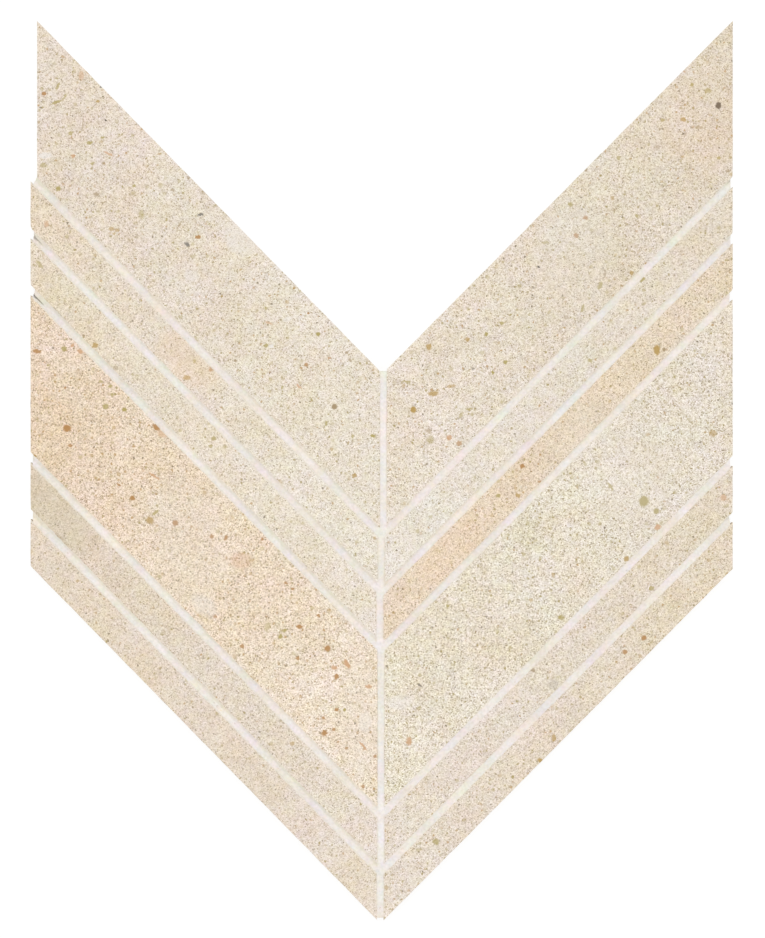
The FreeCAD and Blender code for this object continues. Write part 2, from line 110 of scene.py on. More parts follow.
# Marks that stand out in the print, by tone: x, y, length, width, turn in degrees, and cover.
MARKS_MM = {
    "left_strip_1": {
        "rust": (
            (-144.1, 161.0, 1.8, 1.5, 0, 0.9), (-78.4, 99.8, 2.0, 1.5, 0, 0.9),
            (-32.2, 45.3, 1.5, 1.4, 0, 0.8), (-31.1, 67.3, 0.9, 0.8, 0, 0.8),
            (-22.3, 48.0, 1.3, 1.1, 0, 0.7),
        ),
        "olive": (
            (-138.9, 157.3, 4.8, 1.1, 18, 0.8), (-138.2, 164.2, 1.1, 3.4, -25, 0.7),
            (-135.4, 159.6, 1.0, 2.6, -30, 0.6), (-138.1, 120.4, 2.0, 2.0, 0, 0.9),
            (-102.6, 109.3, 2.2, 3.6, 0, 0.5), (-132.9, 144.0, 1.8, 1.5, 0, 0.7),
            (-124.7, 140.0, 2.6, 1.5, 0, 0.8), (-119.2, 142.3, 1.4, 1.0, 0, 0.8),
            (-123.5, 131.1, 1.6, 1.4, 0, 0.7), (-144.2, 130.2, 3.0, 1.6, 0, 0.5),
            (-49.4, 53.4, 1.7, 1.5, 0, 0.8), (-27.1, 58.2, 2.0, 1.5, 0, 0.9),
            (-23.6, 20.3, 1.3, 1.6, 0, 0.8), (-3.9, 14.9, 1.6, 1.4, 0, 0.9),
            (-12.4, 14.6, 1.2, 1.2, 0, 0.7), (-49.6, 69.4, 1.5, 1.2, 0, 0.7),
            (-42.5, 35.5, 1.2, 1.4, 0, 0.7), (-105.8, 121.5, 1.6, 1.5, 0, 0.8),
            (-94.4, 121.5, 2.4, 2.2, 0, 0.4), (-91.8, 107.0, 1.0, 1.0, 0, 0.8),
        ),
        "umber": (
            (-121.9, 117.9, 2.2, 1.5, 0, 0.7), (-20.1, 27.3, 2.2, 2.1, 0, 0.95),
            (-118.9, 131.4, 1.6, 1.0, 0, 0.6), (-59.8, 36.7, 3.4, 1.0, 10, 0.5),
            (-15.1, 50.4, 1.3, 1.0, 0, 0.8), (-13.5, 47.2, 1.3, 1.3, 0, 0.7),
            (-62.4, 47.0, 1.3, 1.1, 0, 0.8), (-127.7, 148.4, 6.5, 0.45, 86, 0.6),
            (-86.4, 104.9, 1.0, 2.5, -30, 0.7), (-89.2, 119.8, 1.2, 1.1, 0, 0.7),
            (-82.3, 125.2, 1.4, 1.2, 0, 0.6), (-76.1, 118.7, 2.2, 1.8, 0, 0.4),
        ),
        "slate": (
            (-77.4, 109.3, 2.2, 1.2, 10, 0.9), (-83.0, 96.5, 2.4, 1.5, -30, 0.9),
            (-119.8, 163.9, 1.2, 1.0, -40, 0.8),
        ),
        "char": ((-117.9, 149.6, 0.8, 0.8, 0, 0.95),),
        "ochre": (
            (-115.5, 103.2, 2.2, 1.6, 0, 0.65), (-112.9, 102.6, 1.9, 1.6, 0, 0.6),
            (-114.3, 101.2, 1.4, 1.0, 0, 0.6), (-11.7, -2.1, 2.0, 1.7, 0, 0.8),
            (-121.3, 157.7, 1.3, 1.2, 0, 0.8),
        ),
        "clay": (
            (-128.3, 168.7, 1.8, 4.0, 0, 0.5), (-131.7, 134.4, 1.9, 1.5, 0, 0.8),
            (-116.8, 135.4, 4.0, 1.0, -24, 0.7), (-48.2, 63.0, 3.0, 1.0, -20, 0.6),
            (-35.4, 36.0, 2.6, 0.9, -40, 0.7),
        ),
        "milk": (
            (-61.0, 98.5, 14.0, 9.0, -45, 0.4), (-81.3, 83.3, 6.0, 4.6, 0, 0.4),
            (-143.8, 134.6, 5.0, 2.2, 0, 0.7), (-47.2, 53.1, 1.7, 1.6, 0, 0.8),
            (-40.3, 64.6, 3.0, 1.8, 20, 0.5),
        ),
    },
    "left_strip_2": {
        "rust": ((-72.9, 43.3, 1.8, 2.0, 0, 0.8),), "ochre": ((-83.2, 39.7, 3.0, 2.0, 0, 0.7),),
        "olive": ((-79.9, 46.7, 1.4, 1.4, 0, 0.7),), "clay": ((-143.1, 105.3, 2.0, 2.4, 0, 0.6),),
        "peach": ((-82.0, 46.0, 30.0, 15.0, -45, 0.16),),
    },
    "left_strip_3": {
        "olive": (
            (-71.7, 13.7, 2.0, 1.4, 0, 0.7), (-73.1, 10.5, 1.6, 1.3, 0, 0.7),
            (-101.6, 50.5, 1.3, 1.2, 0, 0.7), (-146.0, 88.0, 4.0, 1.4, -50, 0.6),
        ),
        "slate": ((-138.6, 66.4, 8.0, 2.4, -45, 0.25),),
        "ochre": ((-122.3, 53.4, 2.4, 2.0, 0, 0.8),),
        "umber": ((-127.4, 57.7, 1.2, 0.8, 0, 0.9), (-113.5, 43.8, 2.0, 1.6, 0, 0.5)),
    },
    "left_strip_4": {
        "rust": (
            (-147.3, 51.0, 3.4, 1.6, -15, 0.9), (-134.4, 18.1, 3.0, 2.6, 0, 0.95),
            (-133.0, 10.7, 1.6, 1.6, 0, 0.8), (-96.1, 18.6, 3.4, 2.2, -35, 0.95),
            (-35.2, -66.6, 2.2, 1.7, 0, 0.9), (-23.4, -76.0, 2.4, 2.3, 0, 0.9),
            (-19.3, -88.0, 1.8, 2.0, 0, 0.9), (-35.9, -80.2, 1.6, 1.5, 0, 0.8),
            (-135.1, 35.4, 1.0, 1.0, 0, 0.9), (-106.4, -11.7, 2.0, 2.0, 0, 0.9),
            (-112.2, -6.1, 2.0, 0.9, -25, 0.8), (-88.1, -22.4, 2.2, 2.2, 0, 0.9),
            (-72.5, -28.2, 1.8, 1.6, 0, 0.9), (-66.5, -28.8, 1.2, 2.2, -20, 0.9),
            (-71.2, -62.3, 1.4, 1.4, 0, 0.8), (-59.6, -75.0, 1.5, 1.4, 0, 0.8),
            (-50.8, -29.2, 1.4, 1.3, 0, 0.8), (-40.8, -48.0, 1.5, 1.2, 0, 0.8),
            (-37.9, -50.7, 1.4, 1.3, 0, 0.8), (-26.9, -61.9, 1.4, 1.2, 0, 0.8),
            (-19.3, -102.1, 1.7, 1.5, 0, 0.9), (-24.5, -112.1, 2.4, 1.9, 30, 0.9),
            (-20.5, -110.5, 1.3, 1.2, 0, 0.8), (-24.9, -105.7, 1.3, 1.2, 0, 0.8),
            (-15.0, -118.5, 1.4, 1.2, 0, 0.8), (-8.0, -134.8, 1.5, 1.3, 0, 0.8),
            (-2.9, -122.0, 1.4, 1.6, 0, 0.9),
        ),
        "ochre": ((-99.0, -21.2, 3.2, 2.6, -40, 0.8),),
        "milk": (
            (-75.7, -57.7, 11.0, 7.0, -40, 0.35), (-7.0, -107.5, 5.0, 8.0, 0, 0.35),
            (-9.0, -107.0, 16.0, 48.0, 0, 0.16), (-82.0, -28.0, 30.0, 48.0, 0, 0.14),
        ),
        "clay": (
            (-128.7, 51.0, 2.2, 1.5, -30, 0.8), (-93.9, 15.6, 3.6, 2.4, -30, 0.5),
            (-97.0, -2.4, 5.4, 0.8, -32, 0.8), (-14.8, -82.6, 4.0, 1.7, -58, 0.9),
            (-20.3, -84.3, 2.4, 1.7, 0, 0.8), (-5.6, -92.1, 2.4, 1.5, 0, 0.8),
            (-132.0, 53.4, 1.6, 1.4, 0, 0.8), (-8.0, -117.5, 5.0, 0.9, -48, 0.8),
            (-59.8, -38.3, 9.0, 6.0, 0, 0.35),
        ),
        "olive": (
            (-117.8, 27.3, 2.4, 2.2, 0, 0.8), (-109.8, 26.0, 1.8, 1.8, 0, 0.95),
            (-135.6, 52.1, 2.0, 2.2, 0, 0.8), (-115.9, 36.0, 1.6, 1.4, 0, 0.8),
            (-115.0, 32.5, 1.4, 1.4, 0, 0.7), (-120.1, 38.2, 1.4, 1.2, 0, 0.7),
            (-96.6, -17.8, 3.0, 1.2, 35, 0.7), (-48.8, -66.7, 2.0, 4.2, -20, 0.5),
            (-43.2, -70.8, 1.8, 1.6, 0, 0.9), (-41.4, -68.2, 2.2, 1.4, 25, 0.8),
            (-15.9, -102.1, 1.3, 1.2, 0, 0.9),
        ),
    },
    "right_strip_1": {
        "slate": (
            (39.1, 43.5, 1.2, 1.4, 0, 0.5),
        ),
        "char": (
            (143.8, 155.9, 2.2, 2.8, 0, 0.95), (128.8, 143.9, 0.9, 0.8, 0, 0.95),
            (66.9, 86.9, 1.1, 1.0, 0, 0.95),
        ),
        "ochre": (
            (128.8, 149.9, 2.4, 1.7, 0, 0.8), (22.0, 32.9, 4.2, 2.0, 0, 0.8),
            (13.5, 26.0, 2.3, 2.6, 0, 0.95), (20.2, 52.8, 2.2, 2.2, 0, 0.8),
            (29.6, 36.1, 3.6, 1.3, 8, 0.6), (106.8, 84.4, 1.7, 1.5, 0, 0.8),
            (36.6, 56.0, 2.0, 1.8, 0, 0.7),
        ),
        "clay": (
            (28.8, 14.1, 2.0, 2.1, 0, 0.8),
        ),
        "olive": (
            (139.5, 162.3, 2.4, 2.2, 0, 0.7), (80.6, 113.6, 2.0, 1.9, 0, 0.8),
            (20.8, 13.0, 2.8, 3.2, 0, 0.6), (44.7, 58.2, 1.3, 1.6, 0, 0.9),
            (52.8, 46.3, 1.5, 1.6, 0, 0.9), (47.4, 42.0, 0.9, 1.8, 0, 0.9),
            (10.7, 38.0, 3.2, 0.9, 0, 0.7), (37.4, 26.3, 2.6, 1.1, 10, 0.7),
            (33.8, 23.6, 1.4, 2.4, -20, 0.6), (51.3, 63.0, 1.7, 1.5, 0, 0.8),
            (93.3, 79.0, 1.8, 3.4, -25, 0.8), (85.8, 69.4, 0.9, 3.2, -20, 0.8),
            (69.9, 97.4, 3.2, 1.1, 0, 0.6), (58.9, 79.0, 1.6, 1.6, 0, 0.5),
            (101.1, 133.4, 1.6, 1.5, 0, 0.6), (120.0, 149.7, 1.6, 1.2, 0, 0.7),
            (132.4, 164.8, 1.5, 1.4, 0, 0.8), (108.9, 108.9, 1.2, 1.2, 0, 0.7),
            (144.0, 133.5, 1.6, 1.5, 0, 0.8),
        ),
        "rust": (
            (87.0, 108.0, 2.1, 1.6, 0, 0.8), (83.1, 100.4, 2.1, 1.7, 0, 0.8),
            (33.1, 11.7, 2.2, 2.0, 0, 0.7),
        ),
        "umber": (
            (95.2, 83.6, 0.9, 4.2, -12, 0.6), (19.9, 17.0, 2.2, 1.5, 0, 0.6),
            (78.9, 65.4, 2.0, 1.7, 0, 0.5),
            (117.5, 138.0, 2.6, 2.4, 0, 0.35), (135.5, 146.6, 3.0, 1.2, 0, 0.5),
            (87.3, 128.1, 1.2, 1.1, 0, 0.6), (98.9, 111.4, 1.6, 1.4, 0, 0.4),
            (121.0, 119.8, 1.3, 1.2, 0, 0.6), (137.8, 123.1, 0.5, 4.0, 0, 0.5),
            (148.1, 128.1, 1.2, 1.1, 0, 0.8),
        ),
        "peach": ((138.0, 150.0, 38.0, 46.0, 0, 0.1),), "milk": ((82.0, 90.0, 32.0, 46.0, 0, 0.15),),
    },
    "left_strip_5": {
        "umber": ((-136.6, -29.4, 6.5, 1.8, -46, 0.3),),
        "sage": ((-139.0, -18.0, 38.0, 24.0, -45, 0.25),),
    },
    "right_strip_2": {"olive": ((111.4, 81.4, 2.4, 1.2, 40, 0.9), (89.0, 47.0, 2.0, 1.6, -30, 0.7))},
    "right_strip_3": {
        "rust": ((60.1, 1.8, 2.0, 1.6, 0, 0.9), (67.5, -4.7, 1.2, 1.2, 0, 0.8)),
        "ochre": ((58.3, -10.5, 2.0, 1.6, 0, 0.8), (117.5, 51.5, 2.3, 4.0, 0, 0.9)),
        "olive": ((49.8, -10.8, 1.6, 1.6, 0, 0.8),), "umber": ((120.7, 51.7, 1.4, 1.3, 0, 0.9),),
        "peach": ((30.0, -34.0, 34.0, 18.0, 45, 0.11),), "milk": ((82.0, 18.0, 28.0, 15.0, 45, 0.14),),
    },
    "right_strip_4": {
        "olive": (
            (111.9, -13.1, 3.7, 4.4, 0, 0.95), (117.3, -17.3, 2.2, 2.6, 0, 0.9),
            (97.6, -6.8, 4.0, 1.1, -58, 0.8), (76.6, -62.8, 2.4, 2.0, 0, 0.8),
            (28.2, -57.8, 1.4, 1.2, 0, 0.8),
        ),
        "ochre": ((104.5, -37.7, 2.0, 2.0, 0, 0.9), (141.4, 16.0, 3.0, 2.6, 0, 0.6)),
        "clay": ((117.9, -24.2, 2.6, 2.0, 30, 0.9), (11.7, -115.6, 2.2, 3.2, 0, 0.8)),
        "char": ((16.3, -91.7, 2.4, 1.0, -35, 0.7),),
        "milk": ((8.0, -99.0, 10.0, 6.0, 0, 0.4), (107.0, -2.0, 34.0, 46.0, 0, 0.16)),
    },
    "right_strip_5": {
        "umber": ((64.7, -85.4, 1.7, 1.5, 0, 0.9),), "slate": ((73.5, -91.3, 4.0, 3.8, 0, 0.22),),
        "olive": ((115.3, -50.3, 2.2, 1.8, 0, 0.8),), "ochre": ((141.3, -35.9, 2.0, 1.9, 0, 0.8),),
        "clay": ((146.0, -11.6, 2.4, 2.4, 0, 0.6),),
    },
    "right_strip_6": {
        "ochre": ((67.8, -123.8, 2.2, 1.9, 0, 0.9), (73.5, -114.1, 1.8, 3.0, 0, 0.7)),
        "rust": ((103.9, -77.4, 2.0, 1.8, 0, 0.8), (112.0, -71.4, 2.2, 1.9, 0, 0.9)),
        "olive": ((23.2, -158.5, 2.6, 2.2, 0, 0.7),),
    },
}


class Mouth(NamedTuple):
    """One arm's joint as it shows. The grout stops this far short of the side at the joint's lower and
    upper edge. It is white this far below and above the middle line, and the rest is darker: partly a film
    of cement, partly painted shade beside the strips' edges. The white part narrows by the pinch towards
    the side. A crack runs in from there, which lies this share of the way from the middle to an edge; its
    grey is painted shade."""

    back_below: float
    back_above: float
    white_below: float
    white_above: float
    pinch: float
    crack: float = 0.0
    crack_at: float = 0.0


# Below rows 1 to 5.
MOUTHS_MM = {
    "left": (
        Mouth(1.0, 2.7, 1.65, 0.9, 0.9), Mouth(1.0, 1.6, 1.7, 0.75, 1.5, 8.5, 0.1),
        Mouth(0.8, 1.9, 1.7, 0.5, 1.5, 10.5, -0.35), Mouth(0.8, 1.1, 1.7, 0.75, 0.7),
        Mouth(0.9, 1.0, 1.75, 0.6, 0.6),
    ),
    "right": (
        Mouth(0.8, 1.1, 1.35, 1.25, 0.5, 5.0, 0.85), Mouth(0.8, 0.9, 1.35, 0.95, 0.1),
        Mouth(1.2, 1.4, 1.4, 1.0, 0.0), Mouth(0.9, 1.2, 1.65, 1.6, 0.0),
        Mouth(0.8, 1.7, 1.65, 1.55, 0.2, 4.0, 0.75),
    ),
}
LAP_MM = 0.32
GROUT_STEP_MM = 0.75
GROUT_LANES = (-1.0, -0.8, -0.55, -0.32, -0.1, 0.1, 0.32, 0.55, 0.8, 1.0)
PINHOLES_MM = ((11.4, -14.5, 0.5), (8.0, -42.3, 0.45), (-70.2, -100.8, 0.6), (-71.5, -99.2, 0.45),
               (-68.6, -102.4, 0.4), (-0.6, -187.0, 0.5))

PHOTO_HEIGHT_PX = 938
MM_PER_PX = 0.42705
PHOTO_MIDDLE_MM = (0.37, 0.68)
LENS_MM = 180.0
SENSOR_MM = 36.0


def linear(code):
    """An sRGB hex colour as linear red, green and blue."""
    parts = [int(code[i:i + 2], 16) / 255 for i in (1, 3, 5)]
    return tuple(c / 12.92 if c <= 0.04045 else ((c + 0.055) / 1.055) ** 2.4 for c in parts)


def length_property(name, description, size_mm):
    """A length that a user may change, shown with its unit."""
    return bpy.props.FloatProperty(
        name=name, description=description, default=size_mm * MM, min=0.0, unit="LENGTH", precision=5)


def colour_property(name, description, code):
    return bpy.props.FloatVectorProperty(
        name=name, description=description, default=linear(code), size=3, min=0.0, max=1.0,
        subtype="COLOR")


def share_property(name, description, share, most=2.0):
    return bpy.props.FloatProperty(
        name=name, description=description, default=share, min=0.0, max=most, subtype="FACTOR")


class GlazeLook(bpy.types.PropertyGroup):
    """The printed glaze of one strip."""

    outer: colour_property("Outer tone", "Ground colour at the sheet's side", "#E7DAC5")
    inner: colour_property("Inner tone", "Ground colour at the centre joint", "#EADFCC")
    grain: share_property("Grain", "Strength of the fine dark and pale grain", 1.0)
    olive: share_property("Olive flecks", "How common olive flecks are", 1.0)
    rust: share_property("Rust flecks", "How common rust flecks are", 1.0)


class TileSettings(bpy.types.PropertyGroup):
    """Sizes and colours of the sheet."""

    left_angle: bpy.props.FloatProperty(
        name="Left arm", description="Rise of the left arm from level", default=math.radians(45.6),
        subtype="ANGLE")
    right_angle: bpy.props.FloatProperty(
        name="Right arm", description="Rise of the right arm from level",
        default=math.radians(45.2), subtype="ANGLE")
    arris: length_property("Arris", "Radius of the worn edge round a strip's face", 0.22)
    edge_wander: length_property("Edge wander", "How far a cut edge strays inwards", 0.12)
    grid: length_property("Strip grid", "Spacing of a strip's grid lines away from its edges", 1.5)
    grout_drop: length_property("Grout drop", "From the faces down to the grout's edges", 0.08)
    grout_hollow: length_property("Grout hollow", "Depth of the tooled hollow", 0.22)
    net_pitch: length_property("Net pitch", "From one strand of the net to the next", 5.0)
    strand_width: length_property("Strand width", "Width of one flat strand", 0.9)
    body_tone: colour_property("Fired body", "Colour of the cut porcelain body", "#DACDB8")
    grout_tone: colour_property("Grout", "Colour of the cement grout", "#F0E8E0")
    centre_grout_tone: colour_property("Centre grout", "Colour of the grout between the arms", "#F2ECE4")
    # Painted shade: the grout's edge tone is partly a film of cement and partly the shade beside the
    # strips' edges.
    grout_film_and_shade_tone: colour_property("Grout edge", "Colour of the grout where it is filmed over", "#E8DFD1")
    # Painted shade: this grey darkens the grout's cracks in place of the shade down in them; it is not
    # dust.
    crack_shade_tone: colour_property("Dust", "Colour of the dust in the grout's cracks", "#ADA7A1")
    net_tone: colour_property("Net", "Colour of the dipped glass fibre", "#E9E7DE")
    glazes: bpy.props.CollectionProperty(
        type=GlazeLook, name="Glazes", description="One look for each strip")


def add(tree, kind, sockets=(), **settings):
    """Adds a node, sets its properties, and fills or links its inputs. Returns its outputs."""
    node = tree.nodes.new(kind)
    for name, value in settings.items():
        setattr(node, name, value)
    for key, value in dict(sockets).items():
        if isinstance(value, bpy.types.NodeSocket):
            tree.links.new(value, node.inputs[key])
        else:
            node.inputs[key].default_value = value
    return node.outputs


def rgba(colour):
    return (*colour[:3], 1.0)


def finish_material(name):
    """A new material with an empty tree, and that tree."""
    material = bpy.data.materials.new(name)
    material.use_nodes = True
    material.node_tree.nodes.clear()
    return material, material.node_tree


def shade_by_noise(tree, mm, ground, size_mm, darker, paler, warmth=(1.0, 1.0, 1.0), amount=1.0):
    """Darkens and lightens the ground with noise of one grain size. Warmth says how much each of
    red, green and blue takes part, and the amount may be a pattern."""
    patch = add(tree, "ShaderNodeTexNoise",
                {"Vector": mm, "Scale": 1 / size_mm, "Detail": 2.0, "Roughness": 0.55})["Fac"]
    shade = add(tree, "ShaderNodeValToRGB", {0: patch})
    stops = shade[0].node.color_ramp.elements
    stops[0].position, stops[0].color = 0.25, (*(1 - darker * part for part in warmth), 1.0)
    stops[1].position, stops[1].color = 0.75, (*(1 + paler * part for part in warmth), 1.0)
    stops.new(0.5).color = (1.0, 1.0, 1.0, 1.0)
    return add(tree, "ShaderNodeMix", {0: amount, 6: ground, 7: shade[0]},
               data_type="RGBA", blend_type="MULTIPLY")[2]


def scatter_flecks(tree, plan_mm, ground, spacing_mm, radius_mm, share, tone, cover):
    """Scatters round flecks of one tone over the ground, one to a cell at most. The share that is
    printed may be a pattern."""
    cell = add(tree, "ShaderNodeTexVoronoi", {"Vector": plan_mm, "Scale": 1.0 / spacing_mm},
               voronoi_dimensions="2D")
    lot = add(tree, "ShaderNodeSeparateColor", {0: cell["Color"]})
    size = add(tree, "ShaderNodeMath", {0: lot[1], 1: 0.55}, operation="ADD")[0]
    reach = add(tree, "ShaderNodeMath", {0: cell["Distance"], 1: size}, operation="DIVIDE")[0]
    radius = radius_mm / spacing_mm
    disc = add(tree, "ShaderNodeMapRange",
               {0: reach, 1: radius * 0.5, 2: radius, 3: cover, 4: 0.0},
               interpolation_type="SMOOTHSTEP")[0]
    held = add(tree, "ShaderNodeMath", {0: lot[0], 1: share}, operation="LESS_THAN")[0]
    faint = add(tree, "ShaderNodeMapRange", {0: lot[2], 3: 0.35, 4: 1.0})[0]
    amount = add(tree, "ShaderNodeMath", {0: disc, 1: held}, operation="MULTIPLY")[0]
    amount = add(tree, "ShaderNodeMath", {0: amount, 1: faint}, operation="MULTIPLY")[0]
    return add(tree, "ShaderNodeMix", {0: amount, 6: ground, 7: rgba(linear(tone))},
               data_type="RGBA")[2]


# Size of the clouds in mm, then how far they swing from sage to pink, from cool to yellow and from
# dark to pale, and how much red, green and blue take part in the last.
GLAZE_CLOUDS = (
    (28.0, 0.04, 0.12, 0.14, (0.63, 1.0, 1.75)),
    (12.0, 0.045, 0.12, 0.08, (0.63, 1.0, 1.75)),
    (4.5, 0.045, 0.2, 0.12, (0.8, 1.0, 1.5)),
    (1.6, 0.035, 0.16, 0.09, (0.88, 1.0, 1.22)),
)
CEMENT_CLOUDS = (
    (18.0, 0.09, 0.22, 0.17, (1.0, 1.0, 1.0)),
    (5.0, 0.13, 0.26, 0.07, (1.0, 1.0, 1.0)),
    (1.2, 0.07, 0.18, 0.28, (1.0, 1.0, 1.0)),
)
DOT_MM = 0.4
DOT_STOPS = ((0.0, -0.58), (0.07, -0.18), (1.0, 0.3))
GRAIN_WARMTH = (0.88, 1.0, 1.2)


def lay_clouds(tree, mm, ground, clouds, grain=1.0):
    """Soft pink, sage, cream and grey clouds, from the scale of the sheet down to single grains."""
    for size_mm, pink, yellow, swing, warmth in clouds:
        cloud = add(tree, "ShaderNodeTexNoise",
                    {"Vector": mm, "Scale": 1 / size_mm, "Detail": 1.0})["Color"]
        lots = add(tree, "ShaderNodeSeparateColor", {0: cloud})
        axes = ((pink, -0.5 * pink, 0.0), (0.0, 0.0, yellow),
                tuple(swing * grain * part for part in warmth))
        hue = tuple(1.0 - sum(parts) / 2 for parts in zip(*axes))
        for lot, axis in zip(lots, axes):
            hue = add(tree, "ShaderNodeVectorMath", {0: lot, 1: axis, 2: hue},
                      operation="MULTIPLY_ADD")[0]
        ground = add(tree, "ShaderNodeMix", {0: 1.0, 6: ground, 7: hue},
                     data_type="RGBA", blend_type="MULTIPLY")[2]
    return ground


def print_grain(tree, mm, ground, grain):
    """The finest grain, which comes and goes, over the dots that the ink jets leave. Real dots are
    under 0.1 mm, and these are drawn as coarse as they need to show."""
    come = add(tree, "ShaderNodeTexNoise", {"Vector": mm, "Scale": 1 / 5.5, "Detail": 1.0})["Fac"]
    come = add(tree, "ShaderNodeMapRange", {0: come, 1: 0.36, 2: 0.64, 3: 0.4, 4: 1.0})[0]
    ground = shade_by_noise(tree, mm, ground, 0.4, 0.25 * grain, 0.19 * grain, GRAIN_WARMTH, come)
    dot = add(tree, "ShaderNodeTexVoronoi", {"Vector": mm, "Scale": 1.0 / DOT_MM},
              voronoi_dimensions="2D")["Color"]
    dot = add(tree, "ShaderNodeSeparateColor", {0: dot})[0]
    shade = add(tree, "ShaderNodeValToRGB", {0: dot})
    stops = shade[0].node.color_ramp.elements
    stops.new(0.5)
    for stop, (place, step) in zip(stops, DOT_STOPS):
        stop.position = place
        stop.color = (*(1 + step * grain * part for part in GRAIN_WARMTH), 1.0)
    return add(tree, "ShaderNodeMix", {0: 1.0, 6: ground, 7: shade[0]},
               data_type="RGBA", blend_type="MULTIPLY")[2]


def pepper(tree, mm, bent_mm, ground, look):
    """Fine dark grains that gather in places, chalk grains, and sparse olive and ochre flecks."""
    crowd = add(tree, "ShaderNodeTexNoise", {"Vector": mm, "Scale": 1 / 6.0, "Detail": 1.0})["Fac"]
    few = add(tree, "ShaderNodeMapRange", {0: crowd, 1: 0.38, 2: 0.64, 3: 0.04, 4: 0.44})[0]
    flecks = (
        (2.3, 0.5, 0.35, "#F5EFE2", 0.38),
        (1.0, 0.23, few, "#9A8550", 0.65 * look.grain),
        (1.6, 0.28, few, "#84703E", 0.7 * look.grain),
        (4.2, 0.34, 0.5 * look.grain, "#6A5735", 0.85),
        (2.6, 0.42, 0.45 * look.olive, "#A08C3E", 0.75),
        (3.4, 0.45, 0.34 * look.rust, "#B48842", 0.75),
        (6.5, 0.75, 0.45 * look.olive, TONES["olive"], 0.5),
        (10.0, 0.8, 0.25 * look.rust, TONES["ochre"], 0.6),
    )
    for fleck in flecks:
        ground = scatter_flecks(tree, bent_mm, ground, *fleck)
    return ground


def print_mark(tree, plan_mm, ground, tone, x, y, length, width, turn, cover):
    """One ragged oval mark at its own place on the strip."""
    local = add(tree, "ShaderNodeMapping",
                {"Vector": plan_mm, "Location": (x, y, FACE_MM),
                 "Rotation": (0.0, 0.0, math.radians(turn)),
                 "Scale": (length * 0.75, width * 0.75, 20.0)}, vector_type="TEXTURE")[0]
    middle = add(tree, "ShaderNodeTexGradient", {0: local}, gradient_type="SPHERICAL")[1]
    amount = add(tree, "ShaderNodeMapRange", {0: middle, 1: 0.05, 2: 0.5, 3: 0.0, 4: cover},
                 interpolation_type="SMOOTHSTEP")[0]
    return add(tree, "ShaderNodeMix", {0: amount, 6: ground, 7: rgba(linear(TONES[tone]))},
               data_type="RGBA")[2]


def smear_cement(tree, mm, to_joint, ground):
    """The film that grouting leaves: it covers the arris beside a joint with a ragged edge, and thins out
    over the face in uneven patches. The pale ragged edge is partly that film and partly a painted highlight
    on the arris, which reaches furthest on the upper edges of the left strips."""
    haze = add(tree, "ShaderNodeTexNoise", {"Vector": mm, "Scale": 1 / 11.0, "Detail": 2.0})["Fac"]
    patchy = add(tree, "ShaderNodeMapRange", {0: haze, 1: 0.45, 2: 0.7, 3: 0.0, 4: 0.2})[0]
    beside = add(tree, "ShaderNodeMapRange", {0: to_joint, 1: 0.2, 2: 3.4, 3: 1.0, 4: 0.0},
                 interpolation_type="SMOOTHSTEP")[0]
    amount = add(tree, "ShaderNodeMath", {0: patchy, 1: beside}, operation="MULTIPLY")[0]
    ground = add(tree, "ShaderNodeMix", {0: amount, 6: ground, 7: rgba(linear("#E6E2DA"))},
                 data_type="RGBA")[2]
    # Pale arris edge: cement film and painted highlight together.
    ragged = add(tree, "ShaderNodeTexNoise", {"Vector": mm, "Scale": 1 / 2.6, "Detail": 2.0})["Fac"]
    reach = add(tree, "ShaderNodeMapRange", {0: ragged, 1: 0.32, 2: 0.68, 3: -0.2, 4: 0.22})[0]
    short = add(tree, "ShaderNodeMath", {0: to_joint, 1: reach}, operation="SUBTRACT")[0]
    film_and_highlight = add(tree, "ShaderNodeMapRange", {0: short, 1: -0.12, 2: 0.12, 3: 0.75, 4: 0.0})[0]
    return add(tree, "ShaderNodeMix", {0: film_and_highlight, 6: ground, 7: rgba(linear("#ECE6DC"))},
               data_type="RGBA")[2]


